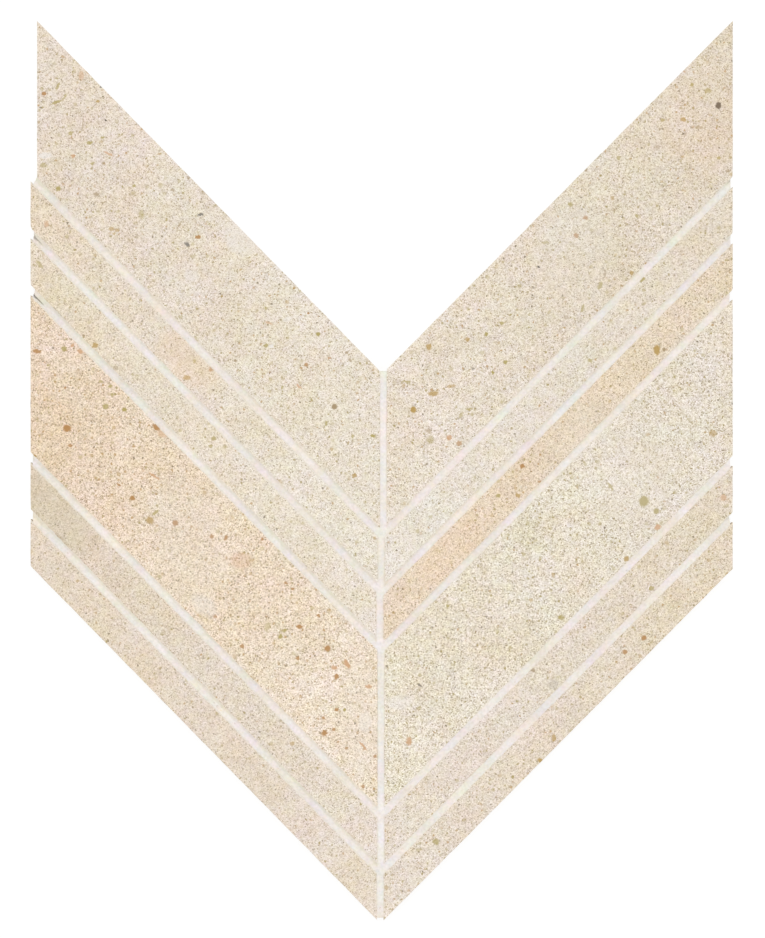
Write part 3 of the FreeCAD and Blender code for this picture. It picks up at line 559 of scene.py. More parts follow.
def glazed_limestone(name, look, settings, seed):
    """Ink-printed, matt-glazed porcelain: the print gives cream limestone with pink and sage
    clouds, pepper and chalk grain, and olive and rust flecks. The cut sides show the fired body."""
    material, tree = finish_material(f"printed matt glaze, {name}")
    where = add(tree, "ShaderNodeTexCoord")["Object"]
    mm = add(tree, "ShaderNodeVectorMath",
             {0: where, 1: (1 / MM,) * 3, 2: (seed * 61.7, seed * 37.3, seed * 11.9)},
             operation="MULTIPLY_ADD")[0]
    true_mm = add(tree, "ShaderNodeVectorMath", {0: where, "Scale": 1 / MM}, operation="SCALE")[0]
    ragged = add(tree, "ShaderNodeTexNoise", {"Vector": mm, "Scale": 1 / 0.9, "Detail": 1.0})["Color"]
    ragged = add(tree, "ShaderNodeVectorMath", {0: ragged, 1: (0.5, 0.5, 0.5)}, operation="SUBTRACT")[0]
    bent_mm = add(tree, "ShaderNodeVectorMath", {0: ragged, 1: (1.2, 1.2, 0.0), 2: mm},
                  operation="MULTIPLY_ADD")[0]
    bent_true_mm = add(tree, "ShaderNodeVectorMath", {0: ragged, 1: (1.4, 1.4, 0.0), 2: true_mm},
                       operation="MULTIPLY_ADD")[0]

    across = add(tree, "ShaderNodeSeparateXYZ", {0: true_mm})[0]
    outward = add(tree, "ShaderNodeMath", {0: across}, operation="ABSOLUTE")[0]
    outward = add(tree, "ShaderNodeMapRange", {0: outward, 1: 20.0, 2: 140.0})[0]
    colour = add(tree, "ShaderNodeMix",
                 {0: outward, 6: rgba(look.inner), 7: rgba(look.outer)}, data_type="RGBA")[2]
    colour = lay_clouds(tree, mm, colour, GLAZE_CLOUDS, look.grain)
    colour = print_grain(tree, mm, colour, look.grain)
    colour = pepper(tree, mm, bent_mm, colour, look)
    for tone, marks in MARKS_MM.get(name, {}).items():
        for mark in marks:
            colour = print_mark(tree, bent_true_mm, colour, tone, *mark)

    to_joint = add(tree, "ShaderNodeAttribute", attribute_name="joint_mm")["Fac"]
    colour = smear_cement(tree, mm, to_joint, colour)
    skin = add(tree, "ShaderNodeAttribute", attribute_name="skin_mm")["Fac"]
    crumb = add(tree, "ShaderNodeTexNoise", {"Vector": mm, "Scale": 1 / 0.7, "Detail": 2.0})["Fac"]
    body = add(tree, "ShaderNodeMapRange", {0: crumb, 1: 0.2, 2: 0.8, 3: 0.86, 4: 1.1})[0]
    body = add(tree, "ShaderNodeMix", {0: 1.0, 6: rgba(settings.body_tone), 7: body},
               data_type="RGBA", blend_type="MULTIPLY")[2]
    glazed = add(tree, "ShaderNodeMapRange", {0: skin, 1: -0.75, 2: -0.45, 3: 0.0, 4: 1.0})[0]
    colour = add(tree, "ShaderNodeMix", {0: glazed, 6: body, 7: colour}, data_type="RGBA")[2]
    rough = add(tree, "ShaderNodeMapRange", {0: glazed, 3: 0.8, 4: 0.55})[0]
    relief = add(tree, "ShaderNodeBump", {"Strength": 0.3, "Distance": 0.05 * MM, "Height": crumb})[0]
    surface = add(tree, "ShaderNodeBsdfPrincipled",
                  {"Base Color": colour, "Roughness": rough, "IOR": 1.5, "Normal": relief})[0]
    add(tree, "ShaderNodeOutputMaterial", {0: surface})
    return material


def tooled_cement(settings):
    """Fine unsanded cement grout, tooled while damp: matt and near white, with a slightly darker tone
    beside the strips that is partly a film of cement and partly painted shade, painted shade in its cracks,
    cloudy where it dried unevenly, and whitest in the centre joint."""
    material, tree = finish_material("tooled cement grout")
    where = add(tree, "ShaderNodeTexCoord")["Object"]
    mm = add(tree, "ShaderNodeVectorMath", {0: where, "Scale": 1 / MM}, operation="SCALE")[0]
    from_middle = add(tree, "ShaderNodeSeparateXYZ", {0: mm})[0]
    from_middle = add(tree, "ShaderNodeMath", {0: from_middle}, operation="ABSOLUTE")[0]
    centre = add(tree, "ShaderNodeMapRange", {0: from_middle, 1: 1.3, 2: 4.0, 3: 1.0, 4: 0.0})[0]
    colour = add(tree, "ShaderNodeMix", {0: centre, 6: rgba(settings.grout_tone),
                                         7: rgba(settings.centre_grout_tone)}, data_type="RGBA")[2]
    # Darker edge tone: partly a film of cement, partly painted shade beside the strips.
    film_and_shade = add(tree, "ShaderNodeAttribute", attribute_name="film_and_shade")["Fac"]
    colour = add(tree, "ShaderNodeMix", {0: film_and_shade, 6: colour, 7: rgba(settings.grout_film_and_shade_tone)},
                 data_type="RGBA")[2]
    # Painted shade: the cracks are darkened with a grey.
    crack_shade = add(tree, "ShaderNodeAttribute", attribute_name="crack_shade")["Fac"]
    colour = add(tree, "ShaderNodeMix", {0: crack_shade, 6: colour, 7: rgba(settings.crack_shade_tone)},
                 data_type="RGBA")[2]
    colour = lay_clouds(tree, mm, colour, CEMENT_CLOUDS)
    sand = add(tree, "ShaderNodeTexNoise", {"Vector": mm, "Scale": 1 / 0.4, "Detail": 2.0})["Fac"]
    relief = add(tree, "ShaderNodeBump", {"Strength": 0.4, "Distance": 0.05 * MM, "Height": sand})[0]
    surface = add(tree, "ShaderNodeBsdfPrincipled",
                  {"Base Color": colour, "Roughness": 0.88, "IOR": 1.5, "Normal": relief})[0]
    add(tree, "ShaderNodeOutputMaterial", {0: surface})
    return material


def dipped_glass_fibre(settings):
    """Glass-fibre roving dipped in latex: off white, satin, with fine filaments along the strand."""
    material, tree = finish_material("latex-dipped glass fibre")
    where = add(tree, "ShaderNodeTexCoord")["Object"]
    mm = add(tree, "ShaderNodeVectorMath", {0: where, "Scale": 1 / MM}, operation="SCALE")[0]
    strand = add(tree, "ShaderNodeTexNoise", {"Vector": mm, "Scale": 1 / 0.35, "Detail": 2.0})["Fac"]
    shade = add(tree, "ShaderNodeMapRange", {0: strand, 1: 0.2, 2: 0.8, 3: 0.8, 4: 1.1})[0]
    colour = add(tree, "ShaderNodeMix", {0: 1.0, 6: rgba(settings.net_tone), 7: shade},
                 data_type="RGBA", blend_type="MULTIPLY")[2]
    relief = add(tree, "ShaderNodeBump", {"Strength": 0.5, "Distance": 0.03 * MM, "Height": strand})[0]
    surface = add(tree, "ShaderNodeBsdfPrincipled",
                  {"Base Color": colour, "Roughness": 0.42, "IOR": 1.5, "Normal": relief})[0]
    add(tree, "ShaderNodeOutputMaterial", {0: surface})
    return material


def seat(piece, node):
    """Puts a finished piece on the part in place of its CAD node."""
    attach(piece, "root")
    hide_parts(node)


def closed_object(name, points_mm, faces, material):
    """A closed object from points in mm, with its faces outwards and its hard edges sharp."""
    mesh = bpy.data.meshes.new(name)
    mesh.from_pydata((np.asarray(points_mm) * MM).tolist(), [], faces)
    mesh.shade_smooth()
    mesh.set_sharp_from_angle(angle=math.radians(40))
    mesh.materials.append(material)
    piece = bpy.data.objects.new(name, mesh)
    bpy.context.scene.collection.objects.link(piece)
    return piece


def ripple(rng, wave_mm):
    """A smooth wandering value from -1 to 1 along a line, from a few seeded waves."""
    waves = [(rng.uniform(0.6, 2.2) * wave_mm, rng.uniform(0, 2 * math.pi)) for _ in range(6)]

    def value(at):
        return sum(np.sin(2 * np.pi * at / length + phase) for length, phase in waves) / 3.5
    return value


def ladder(length, pitch, extra=()):
    """Grid lines across a length: close together at both ends, where the arris is."""
    near = [step for step in ARRIS_STEPS_MM if step < length / 2]
    count = max(1, round((length - 2 * near[-1]) / pitch))
    middle = np.linspace(near[-1], length - near[-1], count + 1)
    far = [length - step for step in near]
    return np.unique(np.concatenate((near, middle, far, list(extra))).round(3))


def strip_plan(name, settings):
    """One strip's side, slope, inner lower corner, run and upright height, from the frame, in mm."""
    low, high = (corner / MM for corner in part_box(name))
    side = name.split("_")[0]
    out = SIDES[side]
    angle = getattr(settings, f"{side}_angle")
    inner_x = low.x if out > 0 else high.x
    run = high.x - low.x
    upright = high.y - low.y - run * math.tan(angle)
    return out, angle, inner_x, low.y, run, upright


def key_lines(width):
    """Where each keying groove of a back starts and ends across the strip."""
    pitch = KEY_GROOVE_MM + KEY_LAND_MM
    count = max(1, int((width - KEY_LAND_MM) / pitch))
    first = (width - count * pitch + KEY_LAND_MM) / 2
    return [(first + i * pitch, first + i * pitch + KEY_GROOVE_MM) for i in range(count)]


def round_outer_corner(x, y, from_end, from_edge, corner, out, angle, radius):
    """Pulls grid points on to arcs about one centre, so that the outer lower corner is round."""
    end_in = np.array((-out, 0.0))
    edge_in = np.array((-out * math.sin(angle), math.cos(angle)))
    turn = math.acos(end_in @ edge_in)
    inwards = (end_in + edge_in) / (1 + end_in @ edge_in)
    ring = np.minimum(from_end, from_edge)
    ring_x, ring_y = corner[0] + ring * inwards[0], corner[1] + ring * inwards[1]
    along = np.hypot(x - ring_x, y - ring_y)
    tangent = np.maximum(radius - ring, 0.0) * math.tan(turn / 2)
    moved = along < tangent
    share = np.where(moved, along / np.maximum(tangent, 1e-9), 0.0) * turn / 2
    centre = np.array(corner) + radius * inwards
    middle = math.atan2(-inwards[1], -inwards[0])
    towards_end = math.atan2(-end_in[1], -end_in[0])
    sign = math.copysign(1.0, math.sin(towards_end - middle))
    direction = middle + np.where(from_end <= from_edge, sign, -sign) * share
    reach = radius - ring
    x = np.where(moved, centre[0] + reach * np.cos(direction), x)
    y = np.where(moved, centre[1] + reach * np.sin(direction), y)
    return x, y


def model_strip(name, settings, material, seed):
    """One strip as a closed mesh: face with worn arris, cut sides and a grooved back."""
    rng = random.Random(seed)
    out, angle, inner_x, base_y, run, upright = strip_plan(name, settings)
    width = upright * math.cos(angle)
    pitch = settings.grid / MM
    keys = key_lines(width)
    key_steps = [at for start, end in keys
                 for at in (start, start + KEY_SLOPE_MM, end - KEY_SLOPE_MM, end)]
    ends = ladder(run, pitch * 0.5)
    rows = ladder(width, pitch, key_steps)
    s, t = np.meshgrid(ends, rows, indexing="ij")
    x = inner_x + out * s
    y = base_y + s * math.tan(angle) + t / math.cos(angle)
    row = int(name[-1])
    if row < len(ROWS):
        radius = WORN_CORNER_ROUND_MM if name == WORN_CORNER else CORNER_ROUND_MM
        corner = (inner_x + out * run, base_y + run * math.tan(angle))
        x, y = round_outer_corner(x, y, run - s, t, corner, out, angle, radius)

    from_edges = (s, run - s, t, width - t)
    inward = ((out, 0.0), (-out, 0.0), (-out * math.sin(angle), math.cos(angle)),
              (out * math.sin(angle), -math.cos(angle)))
    wander = settings.edge_wander / MM
    for gap, normal, at in zip(from_edges, inward, (t, t, s, s)):
        stray = wander * (1 + ripple(rng, 9.0)(at)) / 2 * np.exp(-gap / 1.2)
        x = x + np.maximum(stray, 0) * normal[0]
        y = y + np.maximum(stray, 0) * normal[1]

    low, high = (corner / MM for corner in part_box(name))
    x, y = np.clip(x, low.x, high.x), np.clip(y, low.y, high.y)
    from_edge = np.minimum.reduce(from_edges)
    upper = width - t - UPPER_FILM_AND_HIGHLIGHT_MM[name.split("_")[0]]
    to_joint = np.minimum.reduce([s] + [t] * (row < len(ROWS)) + [upper] * (row > 1))
    arris = settings.arris / MM * (1 + 0.3 * ripple(rng, 5.0)(s + 1.7 * t))
    bend = np.clip(arris - from_edge, 0, None)
    drop = arris - np.sqrt(np.maximum(arris ** 2 - bend ** 2, 0))
    top = FACE_MM - drop - 0.03 * (1 + np.clip(ripple(rng, 23.0)(s) * ripple(rng, 17.0)(t), -1, 1))
    edges = ((0, None), (1, None), (None, 0), (None, 1))
    for _ in range(int((run + width) / 5)):
        along_s, along_t = rng.choice(edges)
        chip_s = rng.uniform(0, run) if along_s is None else along_s * run
        chip_t = rng.uniform(0, width) if along_t is None else along_t * width
        chip_x = inner_x + out * chip_s
        chip_y = base_y + chip_s * math.tan(angle) + chip_t / math.cos(angle)
        size = rng.choice((0.6, 0.7, 0.9, 1.3))
        near = np.clip(1 - ((x - chip_x) ** 2 + (y - chip_y) ** 2) / size ** 2, 0, None)
        top = top - rng.uniform(0.12, 0.4) * size * near

    bottom = np.full_like(top, BACK_MM)
    for start, end in keys:
        into = np.clip(np.minimum(t - start, end - t) / KEY_SLOPE_MM, 0, 1)
        bottom = bottom + KEY_DEPTH_MM * into

    count_s, count_t = s.shape
    index = np.arange(count_s * count_t).reshape(count_s, count_t)
    rim = np.concatenate((index[:-1, 0], index[-1, :-1], index[:0:-1, -1], index[0, :0:-1]))
    grid = np.stack((x.ravel(), y.ravel(), top.ravel()), 1)
    back = np.stack((x.ravel(), y.ravel(), bottom.ravel()), 1)
    layers, skins = [grid, back], [from_edge.ravel(), np.full(len(back), -9.0)]
    gaps, rings = [to_joint.ravel(), to_joint.ravel()], [rim]
    for share in (0.05, 0.5):
        layers.append(grid[rim] * (1 - share) + back[rim] * share)
        skins.append(layers[-1][:, 2] - FACE_MM)
        gaps.append(to_joint.ravel()[rim])
        rings.append(sum(map(len, layers[:-1])) + np.arange(len(rim)))
    rings.append(rim + len(grid))

    quads = np.stack((index[:-1, :-1], index[1:, :-1], index[1:, 1:], index[:-1, 1:]), -1).reshape(-1, 4)
    faces = [quads, quads[:, ::-1] + len(grid)]
    for upper, lower in zip(rings, rings[1:]):
        faces.append(np.stack((upper, lower, np.roll(lower, -1), np.roll(upper, -1)), -1))
    faces = np.concatenate(faces)
    if out < 0:
        faces = faces[:, ::-1]
    piece = closed_object(f"glazed_{name}", np.concatenate(layers), faces.tolist(), material)
    for label, values in (("skin_mm", skins), ("joint_mm", gaps)):
        held = piece.data.attributes.new(label, "FLOAT", "POINT")
        held.data.foreach_set("value", np.concatenate(values).astype(np.float32))
    return piece


class TILE_OT_make_strips(bpy.types.Operator):
    """Makes the twelve glazed strips and puts them in place of the plain ones"""

    bl_idname = "tile.make_strips"
    bl_label = "Make the strips"

    def execute(self, context):
        settings = context.scene.tile_settings
        for name in STRIPS:
            look = settings.glazes.get(name) or settings.glazes.add()
            look.name = name
            outer, inner, look.grain, look.olive, look.rust = GLAZES[name]
            look.outer, look.inner = linear(outer), linear(inner)
        for seed, name in enumerate(STRIPS, start=1):
            material = glazed_limestone(name, settings.glazes[name], settings, seed)
            seat(model_strip(name, settings, material, seed), name)
        return {"FINISHED"}


class Joint(NamedTuple):
    """A joint in plan: a point on its middle line, the directions along it and across it, half its
    width, and how far it runs. An arm's joint has a mouth, and stands this far out to the side."""

    start: np.ndarray
    along: np.ndarray
    across: np.ndarray
    half: float
    length: float
    side_x: float = 0.0
    mouth: Mouth | None = None

    def offset(self, plan):
        """How far points lie across the joint, where 1 and -1 are its two sides."""
        return (plan - self.start) @ self.across / self.half

    def ahead(self, plan):
        return (plan - self.start) @ self.along

    def holds(self, plan):
        ahead = self.ahead(plan)
        return (np.abs(self.offset(plan)) < 1.0) & (ahead > -1.0) & (ahead < self.length + 3.0)

    def at(self, ahead, across):
        return self.start + ahead * self.along + across * self.across

    def end_x(self, share):
        """How far out the grout reaches, at this share of the way across."""
        below, above = self.mouth.back_below, self.mouth.back_above
        return self.side_x - below - (above - below) * (share + 1) / 2


def find_joints(settings):
    """The five joints of each arm, then the centre joint's six stretches, from the strips' places."""
    plans = {name: strip_plan(name, settings) for name in STRIPS}
    joints = []
    for side, mouths in MOUTHS_MM.items():
        for row, mouth in enumerate(mouths, start=1):
            out, angle, above_x, above_y, _, _ = plans[f"{side}_strip_{row}"]
            _, _, inner_x, base_y, run, upright = plans[f"{side}_strip_{row + 1}"]
            roof = above_y - abs(above_x) * math.tan(angle)
            floor = base_y + upright - abs(inner_x) * math.tan(angle)
            side_x = abs(inner_x) + run
            joints.append(Joint(
                np.array((0.0, (roof + floor) / 2)), np.array((out * math.cos(angle), math.sin(angle))),
                np.array((-out * math.sin(angle), math.cos(angle))), (roof - floor) / 2 * math.cos(angle),
                side_x / math.cos(angle), side_x, mouth))
    for row in ROWS:
        _, _, left_x, left_y, _, left_tall = plans[f"left_strip_{row}"]
        _, _, right_x, right_y, _, right_tall = plans[f"right_strip_{row}"]
        low = min(left_y, right_y) - 2.0 if row < len(ROWS) else max(left_y, right_y) + 1.0
        high = max(left_y + left_tall, right_y + right_tall) + 2.0
        if row == 1:
            high = min(left_y + left_tall, right_y + right_tall)
        joints.append(Joint(np.array(((left_x + right_x) / 2, low)), np.array((0.0, 1.0)),
                            np.array((1.0, 0.0)), (right_x - left_x) / 2, high - low))
    return joints


def joint_outline(joint, rng):
    """The joint's outline with a small lap under the strips. An arm's joint has a ragged end."""
    side = joint.half + LAP_MM
    if not joint.mouth:
        corners = ((0, -side), (joint.length, -side), (joint.length, side), (0, side))
        return [joint.at(*corner) for corner in corners]
    steps = np.arange(-1.2, joint.length - 3.0, 2 * GROUT_STEP_MM)
    ring = [joint.at(ahead, -side) for ahead in steps]
    cosine, sine = abs(joint.along[0]), joint.along[1]
    for share in (-1.0, -0.6, -0.2, 0.2, 0.6, 1.0):
        ahead = (joint.end_x(share) - rng.uniform(0.0, 0.2) + share * side * sine) / cosine
        ring.append(joint.at(ahead, share * side))
    return ring + [joint.at(ahead, side) for ahead in reversed(steps)]


def grout_plan(joints):
    """Points for the grout's face, and the outlines that bound it."""
    rng = random.Random(41)
    points, outlines, holes = [], [], list(PINHOLES_MM)
    for joint in joints:
        ring = joint_outline(joint, rng)
        outlines.append(list(range(len(points), len(points) + len(ring))))
        points += ring
        for ahead in np.arange(1.5, joint.length, GROUT_STEP_MM):
            lane = [joint.at(ahead, share * joint.half) for share in GROUT_LANES]
            points += [p for p, share in zip(lane, GROUT_LANES)
                       if not joint.mouth or abs(p[0]) < joint.end_x(share) - 0.5]
        if joint.mouth:
            for _ in range(4):
                place = joint.at(rng.uniform(8, joint.length - 8), rng.uniform(-0.6, 0.6) * joint.half)
                holes.append((*place, rng.uniform(0.2, 0.4)))
    for x, y, radius in holes:
        points.append((x, y))
        points += [(x + reach * radius * math.cos(turn), y + reach * radius * math.sin(turn))
                   for reach in (0.55, 1.0) for turn in np.arange(0, 2 * math.pi, math.pi / 4)]
    return points, outlines, holes


def smooth(share):
    share = np.clip(share, 0, 1)
    return share * share * (3 - 2 * share)


def grout_height(plan, joints, holes, settings):
    """Height of the tooled face at each plan point, how much of the darker edge tone it takes there (partly
    a film of cement, partly painted shade), and how much painted shade darkens its cracks, from 0 to 1."""
    hollow, film_and_shade, crack = np.zeros(len(plan)), np.ones(len(plan)), np.zeros(len(plan))
    stray = 0.3 * np.array([noise.noise((x / 2.5, y / 2.5, 5.0)) for x, y in plan])
    for joint in joints:
        offset, held = joint.offset(plan), joint.holds(plan)
        hollow = np.where(held, np.maximum(hollow, 1 - offset ** 2), hollow)
        away = offset * joint.half + stray
        below = above = joint.half - 0.15
        if joint.mouth:
            from_side = (joint.side_x - np.abs(plan[:, 0])) / abs(joint.along[0])
            pinch = joint.mouth.pinch * (1 - smooth((from_side - 4) / 10))
            below = joint.mouth.white_below - pinch / 3
            above = joint.mouth.white_above - pinch
            gape = 0.2 + 0.45 * np.exp(-from_side / 2.2)
            inside = np.clip((joint.mouth.crack - from_side) / 8, 0, 1)
            inside = inside * (1 - smooth(np.abs(offset - joint.mouth.crack_at + stray / 2) / gape))
            crack = np.where(held, np.maximum(crack, inside), crack)
        # The darker edge: partly a film of cement, partly painted shade.
        edge_film_and_shade = smooth(np.maximum(away - above, -away - below) / 0.6 + 0.5)
        film_and_shade = np.where(held, np.minimum(film_and_shade, edge_film_and_shade), film_and_shade)
    grain = [noise.noise((x / 0.9, y / 0.9, 3.0)) + 1.6 * noise.noise((x / 7, y / 7, 9.0))
             for x, y in plan]
    rim = FACE_MM - settings.grout_drop / MM
    top = rim - settings.grout_hollow / MM * hollow + 0.05 * np.array(grain) - 0.06
    for x, y, radius in holes:
        near = np.clip(1 - ((plan[:, 0] - x) ** 2 + (plan[:, 1] - y) ** 2) / radius ** 2, 0, None)
        top = top - 1.1 * radius * near
    # The last value paints shade into the cracks.
    return np.minimum(top, rim) - 1.2 * crack, film_and_shade, np.minimum(1.6 * crack, 1.0)


class TILE_OT_lay_grout(bpy.types.Operator):
    """Lays the grout between the strips as one tooled piece"""

    bl_idname = "tile.lay_grout"
    bl_label = "Lay the grout"

    def execute(self, context):
        settings = context.scene.tile_settings
        joints = find_joints(settings)
        points, outlines, holes = grout_plan(joints)
        flat, _, triangles, *_ = delaunay_2d_cdt([Vector(p) for p in points], [], outlines, 1, 1e-5)
        plan = np.array(flat)
        top, *looks = grout_height(plan, joints, holes, settings)
        count = len(plan)
        face = np.column_stack((plan, top))
        back = np.column_stack((plan, np.full(count, BACK_MM)))
        sides = {(a, b) for face_of in triangles for a, b in zip(face_of, (*face_of[1:], face_of[0]))}
        rim = [(a, b) for a, b in sides if (b, a) not in sides]
        faces = [list(triangle) for triangle in triangles]
        faces += [[i + count for i in reversed(triangle)] for triangle in triangles]
        faces += [[b, a, a + count, b + count] for a, b in rim]
        piece = closed_object("tooled_grout", np.concatenate((face, back)), faces,
                              tooled_cement(settings))
        for label, values in zip(("film_and_shade", "crack_shade"), looks):
            held = piece.data.attributes.new(label, "FLOAT", "POINT")
            held.data.foreach_set("value", np.tile(values, 2).astype(np.float32))
        seat(piece, "grout")
        return {"FINISHED"}


NET_INPUTS = (
    ("Pitch", "NodeSocketFloat"), ("Strand Width", "NodeSocketFloat"),
    ("Strand Height", "NodeSocketFloat"), ("Reach", "NodeSocketFloat"),
    ("Tip", "NodeSocketFloat"), ("Depth", "NodeSocketFloat"), ("Left Slope", "NodeSocketFloat"),
    ("Right Slope", "NodeSocketFloat"), ("Wander", "NodeSocketFloat"), ("Seed", "NodeSocketInt"),
    ("Fibre", "NodeSocketMaterial"),
)


def strand_run(tree, given, points, along, start, length, height_share):
    """Strands of one direction: a line on every point, stretched to its length, left to wander a
    little, and given a flat oval section."""
    line = add(tree, "GeometryNodeCurvePrimitiveLine", {"End": along})[0]
    line = add(tree, "GeometryNodeResampleCurve", {"Curve": line, "Count": 26})[0]
    moved = add(tree, "GeometryNodeSetPosition", {"Geometry": points, "Position": start})[0]
    grown = tuple(abs(part) for part in along)
    stretch = add(tree, "ShaderNodeVectorMath", {0: grown, "Scale": length}, operation="SCALE")[0]
    rest = tuple(1.0 - part for part in grown)
    stretch = add(tree, "ShaderNodeVectorMath", {0: stretch, 1: rest}, operation="ADD")[0]
    strands = add(tree, "GeometryNodeInstanceOnPoints",
                  {"Points": moved, "Instance": line, "Scale": stretch})[0]
    strands = add(tree, "GeometryNodeRealizeInstances", {0: strands})[0]
    place = add(tree, "GeometryNodeInputPosition")[0]
    stray = add(tree, "ShaderNodeTexNoise",
                {"Vector": place, "W": given["Seed"], "Scale": 28.0, "Detail": 1.0},
                noise_dimensions="4D")["Color"]
    stray = add(tree, "ShaderNodeVectorMath", {0: stray, 1: (0.5, 0.5, 0.5)}, operation="SUBTRACT")[0]
    stray = add(tree, "ShaderNodeVectorMath", {0: stray, 1: (1.0, 1.0, 0.0)}, operation="MULTIPLY")[0]
    stray = add(tree, "ShaderNodeVectorMath", {0: stray, "Scale": given["Wander"]}, operation="SCALE")[0]
    strands = add(tree, "GeometryNodeSetPosition", {"Geometry": strands, "Offset": stray})[0]
    strands = add(tree, "GeometryNodeSetCurveNormal", {"Curve": strands}, mode="Z_UP")[0]
    section = add(tree, "GeometryNodeCurvePrimitiveCircle", {"Resolution": 6, "Radius": 0.5})[0]
    flat = add(tree, "ShaderNodeCombineXYZ",
               {0: given["Strand Width"], 1: given["Strand Height"], 2: 1.0})[0]
    section = add(tree, "GeometryNodeTransform", {"Geometry": section, "Scale": flat})[0]
    mesh = add(tree, "GeometryNodeCurveToMesh",
               {"Curve": strands, "Profile Curve": section, "Fill Caps": True})[0]
    lift = add(tree, "ShaderNodeMath", {0: given["Strand Height"], 1: height_share},
               operation="MULTIPLY")[0]
    lift = add(tree, "ShaderNodeCombineXYZ", {2: lift})[0]
    return add(tree, "GeometryNodeTransform", {"Geometry": mesh, "Translation": lift})[0]


def laid_scrim():
    """A node tree that lays two sets of strands over each other inside a chevron."""
    tree = bpy.data.node_groups.new("laid scrim", "GeometryNodeTree")
    tree.interface.new_socket("Net", in_out="OUTPUT", socket_type="NodeSocketGeometry")
    for name, kind in NET_INPUTS:
        tree.interface.new_socket(name, in_out="INPUT", socket_type=kind)
    given = add(tree, "NodeGroupInput")
    twice = add(tree, "ShaderNodeMath", {0: given["Reach"], 1: 2.0}, operation="MULTIPLY")[0]
    share = add(tree, "ShaderNodeMath", {0: twice, 1: given["Pitch"]}, operation="DIVIDE")[0]
    count = add(tree, "ShaderNodeMath", {0: share}, operation="FLOOR")[0]
    span = add(tree, "ShaderNodeMath", {0: count, 1: given["Pitch"]}, operation="MULTIPLY")[0]
    first = add(tree, "ShaderNodeMath", {0: span, 1: -0.5}, operation="MULTIPLY")[0]
    step = add(tree, "ShaderNodeCombineXYZ", {0: given["Pitch"]})[0]
    start = add(tree, "ShaderNodeCombineXYZ", {0: first})[0]
    number = add(tree, "ShaderNodeMath", {0: count, 1: 1.0}, operation="ADD")[0]
    points = add(tree, "GeometryNodeMeshLine",
                 {"Count": number, "Start Location": start, "Offset": step}, mode="OFFSET")[0]
    place = add(tree, "ShaderNodeSeparateXYZ", {0: add(tree, "GeometryNodeInputPosition")[0]})
    on_left = add(tree, "FunctionNodeCompare", {0: place[0], 1: 0.0}, operation="LESS_THAN")[0]
    slope = add(tree, "GeometryNodeSwitch",
                {0: on_left, 1: given["Right Slope"], 2: given["Left Slope"]}, input_type="FLOAT")[0]
    away = add(tree, "ShaderNodeMath", {0: place[0]}, operation="ABSOLUTE")[0]
    low = add(tree, "ShaderNodeMath", {0: away, 1: slope, 2: given["Tip"]}, operation="MULTIPLY_ADD")[0]
    start = add(tree, "ShaderNodeCombineXYZ", {0: place[0], 1: low})[0]
    sets = [strand_run(tree, given, points, (0.0, 1.0, 0.0), start, given["Depth"], 0.55)]
    for side, out in SIDES.items():
        slope = given[f"{side.title()} Slope"]
        tall = add(tree, "ShaderNodeMath", {0: given["Reach"], 1: slope, 2: given["Depth"]},
                   operation="MULTIPLY_ADD")[0]
        share = add(tree, "ShaderNodeMath", {0: tall, 1: given["Pitch"]}, operation="DIVIDE")[0]
        number = add(tree, "ShaderNodeMath", {0: share}, operation="FLOOR")[0]
        step = add(tree, "ShaderNodeCombineXYZ", {1: given["Pitch"]})[0]
        first = add(tree, "ShaderNodeMath", {0: given["Pitch"], 1: 0.6, 2: given["Tip"]},
                    operation="MULTIPLY_ADD")[0]
        start = add(tree, "ShaderNodeCombineXYZ", {1: first})[0]
        points = add(tree, "GeometryNodeMeshLine",
                     {"Count": number, "Start Location": start, "Offset": step}, mode="OFFSET")[0]
        place = add(tree, "ShaderNodeSeparateXYZ", {0: add(tree, "GeometryNodeInputPosition")[0]})
        above_tip = add(tree, "ShaderNodeMath", {0: place[1], 1: given["Tip"]}, operation="SUBTRACT")[0]
        far = add(tree, "ShaderNodeMath", {0: above_tip, 1: slope}, operation="DIVIDE")[0]
        far = add(tree, "ShaderNodeMath", {0: far, 1: given["Reach"]}, operation="MINIMUM")[0]
        above_notch = add(tree, "ShaderNodeMath", {0: above_tip, 1: given["Depth"]},
                          operation="SUBTRACT")[0]
        near = add(tree, "ShaderNodeMath", {0: above_notch, 1: slope}, operation="DIVIDE")[0]
        near = add(tree, "ShaderNodeMath", {0: near, 1: 0.0}, operation="MAXIMUM")[0]
        length = add(tree, "ShaderNodeMath", {0: far, 1: near}, operation="SUBTRACT")[0]
        near = add(tree, "ShaderNodeMath", {0: near, 1: out}, operation="MULTIPLY")[0]
        start = add(tree, "ShaderNodeCombineXYZ", {0: near, 1: place[1]})[0]
        sets.append(strand_run(tree, given, points, (float(out), 0.0, 0.0), start, length, 1.45))
    joined = tree.nodes.new("GeometryNodeJoinGeometry")
    for mesh in sets:
        tree.links.new(mesh, joined.inputs[0])
    net = add(tree, "GeometryNodeRealizeInstances", {0: joined.outputs[0]})[0]
    net = add(tree, "GeometryNodeSetMaterial", {0: net, "Material": given["Fibre"]})[0]
    add(tree, "NodeGroupOutput", {0: net})
    return tree


